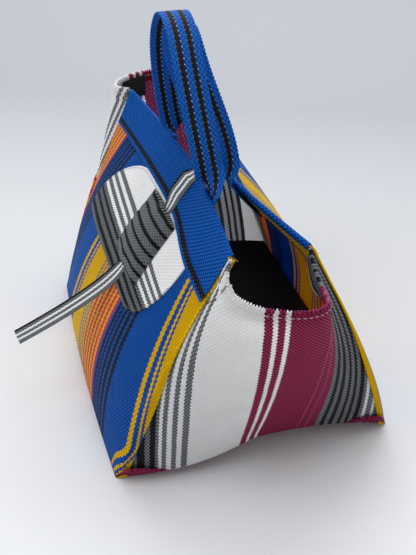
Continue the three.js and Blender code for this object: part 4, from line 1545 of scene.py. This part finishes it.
@dataclass
class StrapClosure:
    """The leaf on the front, the strap that crosses the mouth, and the padded keeper that it runs through."""

    form: BagForm
    finishes: Wardrobe
    leaf_top: float = 37.0
    leaf_depth: float = 85.0
    leaf_tip: float = 4.0
    leaf_near_x: float = 126.0
    leaf_far_x: float = -133.0
    far_round: float = 86.0
    far_power: float = 1.6
    near_round: float = 58.0
    near_power: float = 2.0
    leaf_face: float = 2.3
    leaf_thickness: float = 1.2
    strap_width: float = 14.0
    strap_thickness: float = 1.4
    strap_level: float = 3.3
    strap_back_x: float = 20.0
    strap_front_x: float = 43.0
    strap_slant: float = 0.13
    strap_rise: float = 5.0
    strap_sewn: float = 12.0
    keeper_x: float = 31.0
    keeper_width: float = 80.0
    keeper_top: float = 40.0
    keeper_bottom: float = 100.0
    keeper_puff: float = 7.0
    keeper_edge: float = 1.6
    keeper_mouth: float = 3.0
    keeper_roof: float = 4.3
    rib_height: float = 1.3
    rib_pitch: float = 9.9
    rib_start: float = 41.6
    tail_exit: float = 3.0
    band_turn: float = math.radians(40)
    tail_turn: float = math.radians(42)
    tail_stiff: float = 34.0
    tail_tip: tuple[float, float, float] = (20.0, -196.0, 66.0)
    leaf_columns: int = 121
    leaf_rows: int = 41
    stripe_tilt: float = 0.085
    tilt_x: float = -70.0
    tilt_drop: float = 126.0
    tilt_run: float = 50.0
    keeper_columns: int = 61
    keeper_rows: int = 73
    tunnel_side: float = 6.8
    tunnel_sewn: float = 3.0
    sewn_lift: float = 0.2
    sewn_thickness: float = 0.9
    roof_run: float = 0.3
    rib_run: float = 0.15
    mouth_width: float = 11.0
    mouth_from: float = 0.45
    keeper_rounding: float = 0.45
    keeper_fill: float = 0.55
    strap_columns: int = 13
    strap_points: int = 190
    strap_samples: int = 8
    crest_station: int = 6
    front_stations: int = 11
    mouth_slack: float = 0.6
    tail_gap: float = 0.4
    tail_lift: float = 0.6
    tail_points: int = 60
    tail_first: float = 0.03
    turn_lead: float = 4.0
    turn_in: float = 12.0
    turn_end: float = 54.0
    turn_out: float = 32.0
    loose_lead: float = 14.0
    loose_run: float = 44.0
    bend_before: float = 1.0
    bend_after: float = 7.0

    def build(self) -> list[Piece]:
        """Makes the leaf, the keeper and the strap.

        Returns:
            The pieces.
        """
        return [self._leaf(), self._keeper(), self._strap()]

    def leaf_edges(self, x: Points) -> tuple[Points, Points]:
        """Works out the leaf's rounded outline.

        Args:
            x: places along the leaf.

        Returns:
            Its upper and lower edge at each place, as drops.
        """
        def cut(share: Points, power: float) -> Points:
            """Share of the leaf's depth that a rounded corner takes."""
            return 1 - (1 - np.clip(share, 0, 1)**power)**(1 / power)

        depth = self.leaf_depth - self.leaf_tip
        far = cut((self.leaf_far_x + self.far_round - x) / self.far_round, self.far_power)
        near = cut((x - self.leaf_near_x + self.near_round) / self.near_round, self.near_power)
        return self.leaf_top + depth * far, self.leaf_top + self.leaf_depth - depth * near

    def _leaf(self) -> Piece:
        """Makes the leaf.

        Returns:
            The leaf.
        """
        form = self.form
        length = self.leaf_near_x - self.leaf_far_x
        angle = np.linspace(-math.pi / 2, math.pi / 2, self.leaf_columns)
        x = self.leaf_far_x + length * (1 + np.sin(angle)) / 2
        top, bottom = self.leaf_edges(x)
        share = np.linspace(0, 1, self.leaf_rows)
        drop = top[:, None] + (bottom - top)[:, None] * share[None]
        grid_x = np.broadcast_to(x[:, None], drop.shape)
        outer = form.on_wall(Side.FRONT, grid_x, drop, self.leaf_face)
        inner = form.on_wall(Side.FRONT, grid_x, drop, self.leaf_face - self.leaf_thickness)
        upper = np.clip((self.tilt_drop - drop) / self.tilt_run, 0, 1)
        tilt = self.stripe_tilt * (grid_x - self.tilt_x) * upper
        leaf = sewn_sheet("closure_leaf_mat", outer, inner, np.stack([grid_x, drop - tilt], axis=-1),
                          self.finishes.leaf_mat)
        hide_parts("closure_leaf")
        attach(leaf, "bag")
        return leaf

    def strap_x(self, drop: Points) -> Points:
        """Where the strap's middle runs along the front at each drop."""
        return self.strap_front_x - self.strap_slant * np.maximum(0, drop)

    def _keeper(self) -> Piece:
        """Makes the padded keeper, fullest over the strap and sewn flat at its sides.

        Returns:
            The keeper.
        """
        form = self.form
        side = self.keeper_width / 2
        tunnel = self.strap_width / 2 + self.tunnel_side
        reach = np.linspace(-side, side, self.keeper_columns)
        w = np.linspace(-1, 1, self.keeper_rows)
        r, ww = np.meshgrid(reach, w, indexing="ij")
        drop = self.keeper_top + (self.keeper_bottom - self.keeper_top) * (ww + 1) / 2
        spare = np.clip((side - np.abs(r)) / (side - tunnel), 0, 1)
        x = self.keeper_x + r + (self.strap_x(drop) - self.keeper_x) * spare
        crown = 1 - (r / side)**2
        from_side = 1 - np.abs(r) / side
        sewn = self.leaf_face + self.sewn_thickness
        roof = sewn + (self.keeper_roof + self.keeper_edge - sewn) * smooth_step(from_side / self.roof_run)
        rib = self.rib_height * np.sqrt(np.abs(np.sin(math.pi * (drop - self.rib_start) / self.rib_pitch)))
        fold = rib * smooth_step(from_side / self.rib_run)
        mouth = smooth_step((np.abs(ww) - self.mouth_from) / (1 - self.mouth_from))
        fold = fold + self.keeper_mouth * np.exp(-(r / self.mouth_width)**2) * mouth
        outer = form.on_wall(Side.FRONT, x, drop, roof + self.keeper_puff * crown * (1 - ww**2) + fold)
        beside = np.abs(r) > tunnel - self.tunnel_sewn
        floor = np.where(beside, self.leaf_face + self.sewn_lift, self.keeper_roof)
        inner = form.on_wall(Side.FRONT, x, drop, floor)
        keeper = sewn_sheet("padded_keeper", outer, inner, np.stack([r, drop], axis=-1),
                            self.finishes.keeper_mat, rounding=self.keeper_rounding)
        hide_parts("strap_keeper")
        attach(keeper, "bag")
        return keeper

    def _strap(self) -> Piece:
        """Makes the strap and its loose tail in one length.

        Returns:
            The strap.
        """
        form, level, rise = self.form, self.strap_level, self.strap_rise
        quarter = (self.strap_front_x - self.strap_back_x) / 4
        stations = [
            (Side.BACK, self.strap_back_x, self.strap_sewn, -level),
            (Side.BACK, self.strap_back_x, self.strap_sewn / 2, -level),
            (Side.BACK, self.strap_back_x, 0.0, -level - self.mouth_slack),
            (Side.BACK, self.strap_back_x + quarter, -rise, -3 * level),
            (Side.FRONT, self.strap_front_x - quarter, -rise, -2 * level),
            (Side.FRONT, self.strap_front_x, -rise, 0.0),
            (Side.FRONT, self.strap_front_x, -rise / 2, level),
        ]
        end_drop = self.keeper_bottom + self.tail_exit
        stations += [(Side.FRONT, float(self.strap_x(d)), float(d), level)
                     for d in np.linspace(rise / 2, end_drop, self.front_stations)]
        crest = self.crest_station * self.strap_samples

        def edge(shift: float) -> Points:
            """One line along the strap, beside its middle."""
            knots = np.array([form.on_wall(s, x + shift, d, away) for s, x, d, away in stations])
            return rounded_path(knots, self.strap_samples)

        middle, wide = edge(0.0), edge(self.strap_width / 2) - edge(-self.strap_width / 2)
        first = end_drop + self.tail_gap
        start, below = (form.on_wall(Side.FRONT, self.strap_x(d), d, level + self.tail_lift)
                        for d in (first, first + 1))
        way = unit(below - start)
        guide, tip = start + way * self.tail_stiff, np.array(self.tail_tip)
        k = np.linspace(self.tail_first, 1, self.tail_points)[:, None]
        tail = (1 - k)**2 * start + 2 * k * (1 - k) * guide + k**2 * tip
        line = np.vstack([middle, tail])
        across = np.vstack([unit(wide), np.repeat([[1.0, 0.0, 0.0]], len(tail), axis=0)])
        length = path_length(line)
        at = np.linspace(0, length[-1], self.strap_points)
        points, turned = part_way(line, length, at), part_way(across, length, at)
        tangent = unit(np.gradient(points, axis=0))
        turned = unit(turned - tangent * np.sum(turned * tangent, axis=1, keepdims=True))
        inward = np.cross(turned, tangent)
        run = path_length(middle)
        over_band = smooth_step((at - run[crest] + self.turn_lead) / self.turn_in)
        over_band = over_band * smooth_step((run[crest] + self.turn_end - at) / self.turn_out)
        loose = smooth_step((at - run[-1] + self.loose_lead) / self.loose_run)
        angle = (self.band_turn * over_band + self.tail_turn * loose)[:, None]
        points = points - inward * np.sin(angle) * self.strap_width / 2 * over_band[:, None]
        turned = turned * np.cos(angle) + inward * np.sin(angle)
        strap = flat_strap("closure_strap_tape", points, turned, self.strap_width, self.strap_thickness,
                           self.finishes.strap_mat, self.strap_columns)
        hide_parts("closure_strap", "strap_tail")
        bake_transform(strap)
        return strap


@dataclass
class Inside:
    """What lies inside: the black floor sheet and the plain tape patch by the far rim."""

    form: BagForm
    finishes: Wardrobe
    room: float = 7.0
    side_room: float = 2.5
    thickness: float = 1.4
    turn_length: float = 36.0
    turn_height: float = 20.0
    taper: float = 0.6
    patch_width: float = 36.0
    patch_depth: float = 26.0
    patch_share: float = -0.3
    patch_drop: float = 3.0
    patch_face: float = 3.0
    patch_thickness: float = 0.8
    sheet_grid: tuple[int, int] = (81, 41)
    patch_grid: tuple[int, int] = (25, 17)

    def build(self) -> list[Piece]:
        """Makes the floor sheet and the patch.

        Returns:
            The pieces.
        """
        return [self._floor_sheet(), self._patch()]

    def _floor_sheet(self) -> Piece:
        """Makes the floor sheet, turned up at both ends.

        Returns:
            The sheet.
        """
        form = self.form
        half_x = form.base_length / 2 - self.room
        turn_x = half_x - self.turn_length
        x = np.linspace(-half_x, half_x, self.sheet_grid[0])
        turn = self.turn_height * (np.maximum(0, np.abs(x) - turn_x) / self.turn_length)**2
        half_y = form.base_width / 2 - self.side_room - self.taper * turn
        a = np.linspace(-1, 1, self.sheet_grid[1])
        y = half_y[:, None] * a[None]
        grid_x = np.broadcast_to(x[:, None], y.shape)
        low = form.base_height(grid_x, y) + form.mat + form.gap + turn[:, None]
        under = np.stack([grid_x, y, low], axis=-1)
        sheet = sewn_sheet("floor_sheet", under + np.array([0, 0, self.thickness]), under,
                           np.stack([grid_x, y], axis=-1), self.finishes.black_sheet)
        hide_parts("floor_insert")
        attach(sheet, "bag")
        return sheet

    def _patch(self) -> Piece:
        """Makes the plain patch on the far hem.

        Returns:
            The patch.
        """
        form, step = self.form, 0.01
        share = form.share_at(self.patch_drop)
        ends = form.gusset_point(End.FAR, np.array([self.patch_share - step, self.patch_share + step]), share)
        per_share = np.linalg.norm(ends[1] - ends[0]) / (2 * step)
        columns, rows = self.patch_grid
        turn = self.patch_share + np.linspace(-1, 1, columns) * self.patch_width / 2 / per_share
        drop = np.linspace(self.patch_drop, self.patch_drop + self.patch_depth, rows)
        t, d = np.meshgrid(turn, drop, indexing="ij")
        outer = form.on_gusset(End.FAR, t, d, -self.patch_face)
        inner = form.on_gusset(End.FAR, t, d, -self.patch_face - self.patch_thickness)
        patch = sewn_sheet("plain_patch", outer, inner, np.stack([t * per_share, d], axis=-1),
                           self.finishes.black_tape)
        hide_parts("label_patch")
        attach(patch, "bag")
        return patch


@dataclass
class Stitching:
    """The threads: hem lines at both rims, the bands' lower edges and the leaf's edge."""

    form: BagForm
    finishes: Wardrobe
    bands: TopBands
    closure: StrapClosure
    stitch: float = 3.2
    spacing: float = 4.4
    thread: float = 0.35
    hem_drop: float = 3.6
    flatness: float = 0.8
    hem_start: float = -0.96
    near_hem_stop: float = 0.42
    far_hem_stop: float = 0.96
    hem_outside: float = 0.85
    hem_inside: float = -2.75
    hem_points: int = 241
    line_points: int = 301
    band_reach: float = 176.0
    band_inset: float = 1.3
    leaf_margin: float = 4.0
    leaf_inset: float = 2.2
    clear: float = 0.05

    def build(self) -> list[Piece]:
        """Makes the lines of stitches.

        Returns:
            The pieces.
        """
        pieces = [self._hem(end) for end in End]
        pieces += [self._band_line(side) for side in Side]
        pieces.append(self._leaf_line())
        for piece in pieces:
            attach(piece, "bag")
        return pieces

    def _sew(self, name: str, lines: list[tuple[Points, Points]], material: Material) -> Piece:
        """Makes stitches along lines on the cloth.

        Args:
            name: the piece's name.
            lines: points on the cloth and the way out at each.
            material: the thread.

        Returns:
            The stitches as one piece.
        """
        found = [stitch_line(points, normals, self.stitch, self.spacing) for points, normals in lines]
        centre, along, up = (np.vstack([f[i] for f in found]) for i in range(3))
        size = np.array([[self.stitch / 2, self.thread, self.thread * self.flatness]])
        piece = beads(name, centre, along, up, size, centre[:, :2].copy(), material)
        return piece

    def _hem(self, end: End) -> Piece:
        """Sews a rim's hem, with stitches on its outside and inside.

        Args:
            end: near or far.

        Returns:
            The stitches.
        """
        stop = self.near_hem_stop if end is End.NEAR else self.far_hem_stop
        turn = np.linspace(self.hem_start, stop, self.hem_points)
        lines = []
        for distance, out in ((self.hem_outside, 1), (self.hem_inside, -1)):
            points = self.form.on_gusset(end, turn, self.hem_drop, distance)
            above = self.form.on_gusset(end, turn, self.hem_drop, distance + 1)
            lines.append((points, out * (above - points)))
        return self._sew(f"{end.name.lower()}_hem_stitches", lines, self.finishes.beige_thread)

    def _band_line(self, side: Side) -> Piece:
        """Sews a band's lower edge.

        Args:
            side: front or back.

        Returns:
            The stitches.
        """
        x = np.linspace(-self.band_reach, self.band_reach, self.line_points)
        drop = self.bands.depth(side, x) - self.band_inset
        face = self.bands.face + self.bands.leaf_lift(drop)
        points = self.form.on_wall(side, x, drop, face + self.clear)
        normals = self.form.on_wall(side, x, drop, face + 1) - points
        return self._sew(f"{side.name.lower()}_band_stitches", [(points, normals)], self.finishes.blue_thread)

    def _leaf_line(self) -> Piece:
        """Sews just inside the leaf's edge.

        Returns:
            The stitches.
        """
        form, closure = self.form, self.closure
        margin, inset = self.leaf_margin, self.leaf_inset
        x = np.linspace(closure.leaf_far_x + margin, closure.leaf_near_x - margin, self.line_points)
        top, bottom = closure.leaf_edges(x)
        lines = []
        for drop in (np.minimum(top + inset, bottom - 1), np.maximum(bottom - inset, top + 1)):
            shown = drop > self.bands.depth(Side.FRONT, x) + 1
            points, above = (form.on_wall(Side.FRONT, x[shown], drop[shown], closure.leaf_face + away)
                             for away in (self.clear, 1.0))
            lines.append((points, above - points))
        return self._sew("leaf_stitches", lines, self.finishes.grey_thread)


@dataclass
class FrayedEnds:
    """Short yarn ends that stick out where the bands were cut at the near corners."""

    form: BagForm
    finishes: Wardrobe
    strands: int = 14
    length: float = 6.0
    radius: float = 0.4
    taper: float = 0.5
    sag: float = 0.4
    seed: int = 21
    drop: float = 4.0
    inset: float = 4.0
    turns: int = 6
    rings: int = 6
    drops: tuple[float, float] = (-1.0, 15.0)
    depths: tuple[float, float] = (-1.8, 1.8)
    sideways: tuple[float, float] = (-0.5, 0.5)
    upwards: tuple[float, float] = (-0.5, 0.7)
    bend_sideways: tuple[float, float] = (-1.0, 1.0)
    bend_upwards: tuple[float, float] = (-1.0, 0.3)
    lengths: tuple[float, float] = (0.5, 1.1)

    def build(self) -> list[Piece]:
        """Makes the frayed ends of both bands.

        Returns:
            The pieces.
        """
        return [self._tuft(side) for side in Side]

    def _tuft(self, side: Side) -> Piece:
        """Makes one tuft.

        Args:
            side: front or back.

        Returns:
            The tuft.
        """
        rng = np.random.default_rng(self.seed + side.value)
        x_end = self.form.half_length(self.form.share_at(self.drop)) - self.inset
        points, faces = [], []
        turns, rings = self.turns, self.rings
        k = np.linspace(0, 1, rings)[:, None]
        angle = np.arange(turns) * 2 * math.pi / turns
        for _ in range(self.strands):
            drop = rng.uniform(*self.drops)
            start = self.form.on_wall(side, x_end, drop, rng.uniform(*self.depths))
            way = unit(np.array([1.0, rng.uniform(*self.sideways), rng.uniform(*self.upwards)]))
            bend = np.array([0, rng.uniform(*self.bend_sideways), rng.uniform(*self.bend_upwards)])
            bend = bend * self.length * self.sag
            reach = self.length * rng.uniform(*self.lengths)
            line = start + way * reach * k + bend * k**2
            tangent = unit(np.gradient(line, axis=0))
            side_way = unit(np.cross(tangent, [0.0, 0.0, 1.0]))
            up_way = np.cross(side_way, tangent)
            first = len(points)
            for i in range(rings):
                radius = self.radius * (1 - self.taper * i / rings)
                for t in angle:
                    points.append(line[i] + radius * (math.cos(t) * side_way[i] + math.sin(t) * up_way[i]))
            for i in range(rings - 1):
                for j in range(turns):
                    a, b = first + i * turns + j, first + i * turns + (j + 1) % turns
                    faces.append((a, b, b + turns, a + turns))
            faces.append(tuple(first + j for j in reversed(range(turns))))
            faces.append(tuple(first + (rings - 1) * turns + j for j in range(turns)))
        array = np.array(points)
        tuft = finish_mesh(f"{side.name.lower()}_band_fray", array, faces, array[:, :2].copy(),
                           self.finishes.yellow_thread, sharp=80.0)
        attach(tuft, "bag")
        return tuft


@dataclass
class Studio:
    """Floor, soft lights and the camera at the photograph's place."""

    floor_half: float = 12.0
    eye: tuple[float, float, float] = (0.70206, -0.19571, 0.555)
    look: tuple[float, float, float] = (-0.8112, 0.2258, -0.5394)
    lens: float = 55.135
    sensor: float = 36.0
    sight: float = 50.0
    floor_level: float = -0.0003
    soft_colour: str = "#F1F3F6"
    soft_strength: float = 0.32

    def build(self) -> Piece:
        """Makes the floor, the lights and the camera.

        Returns:
            The camera.
        """
        bpy.context.scene.view_settings.view_transform = "Standard"
        self._floor()
        self._lights()
        data = bpy.data.cameras.new("studio_camera")
        data.lens = self.lens
        data.sensor_width = self.sensor
        data.clip_end = self.sight
        camera = bpy.data.objects.new("studio_camera", data)
        camera.location = self.eye
        camera.rotation_euler = Vector(self.look).to_track_quat("-Z", "Y").to_euler()
        bpy.context.scene.collection.objects.link(camera)
        bpy.context.scene.camera = camera
        return camera

    def _floor(self) -> None:
        """Makes the paper floor."""
        half, level = self.floor_half, self.floor_level
        mesh = bpy.data.meshes.new("studio_floor")
        corners = [(x, y, level) for x, y in ((-half, -half), (half, -half), (half, half), (-half, half))]
        mesh.from_pydata(corners, [], [(0, 1, 2, 3)])
        mesh.materials.append(BackdropPaper().build())
        floor = bpy.data.objects.new("studio_floor", mesh)
        bpy.context.scene.collection.objects.link(floor)

    def _lights(self) -> None:
        """Makes the soft lights and the pale surround."""
        world = bpy.data.worlds.new("studio_surround")
        world.use_nodes = True
        tree = world.node_tree
        tree.nodes.clear()
        soft = add_node(tree, "Background", {"Color": to_linear(self.soft_colour),
                                             "Strength": self.soft_strength})
        pale = add_node(tree, "Background", {"Color": to_linear(BackdropPaper.surround), "Strength": 1.0})
        both = add_node(tree, "MixShader", {0: seen_directly(tree), 1: soft.outputs[0], 2: pale.outputs[0]})
        add_node(tree, "OutputWorld", {"Surface": both.outputs[0]})
        bpy.context.scene.world = world
        for name, place, aim, size, power in (
            ("left_softbox", (-0.1, -3.0, 2.6), (0, 0, 0.1), 2.8, 47.0),
            ("far_softbox", (-1.6, 0.5, 1.8), (0, 0, 0.1), 1.8, 24.0),
            ("right_softbox", (0.0, 1.9, 1.6), (0, 0, 0.1), 1.6, 10.0),
            ("top_softbox", (-0.5, 0.1, 2.1), (0, 0, 0.1), 2.0, 17.0),
            ("near_fill", (2.2, -0.2, 1.3), (0, 0, 0.15), 1.4, 4.3),
        ):
            data = bpy.data.lights.new(name, "AREA")
            data.shape = "SQUARE"
            data.size = size
            data.energy = power
            lamp = bpy.data.objects.new(name, data)
            lamp.location = place
            lamp.rotation_euler = (Vector(aim) - Vector(place)).to_track_quat("-Z", "Y").to_euler()
            bpy.context.scene.collection.objects.link(lamp)


def main() -> None:
    """Builds the bag piece by piece, then logs how many faces each piece has."""
    logging.basicConfig(level=logging.INFO, format="%(message)s")
    Studio().build()
    form, finishes = BagForm(), Wardrobe()
    bands, closure = TopBands(form, finishes), StrapClosure(form, finishes)
    pieces = SewnBody(form, finishes).build() + bands.build()
    front = Handle(form, finishes, Side.FRONT, half_spacing=67.0, height=362.0, crown_y=-33.0, lean_out=5.0)
    back = Handle(form, finishes, Side.BACK, half_spacing=47.0, height=350.0, crown_y=-27.0, lean_out=1.0)
    pieces += [front.build(), back.build()]
    pieces += closure.build() + Inside(form, finishes).build()
    pieces += Stitching(form, finishes, bands, closure).build() + FrayedEnds(form, finishes).build()
    for piece in pieces:
        LOG.info("%s: %d faces", piece.name, len(piece.data.polygons))


if __name__ == "__main__":
    main()
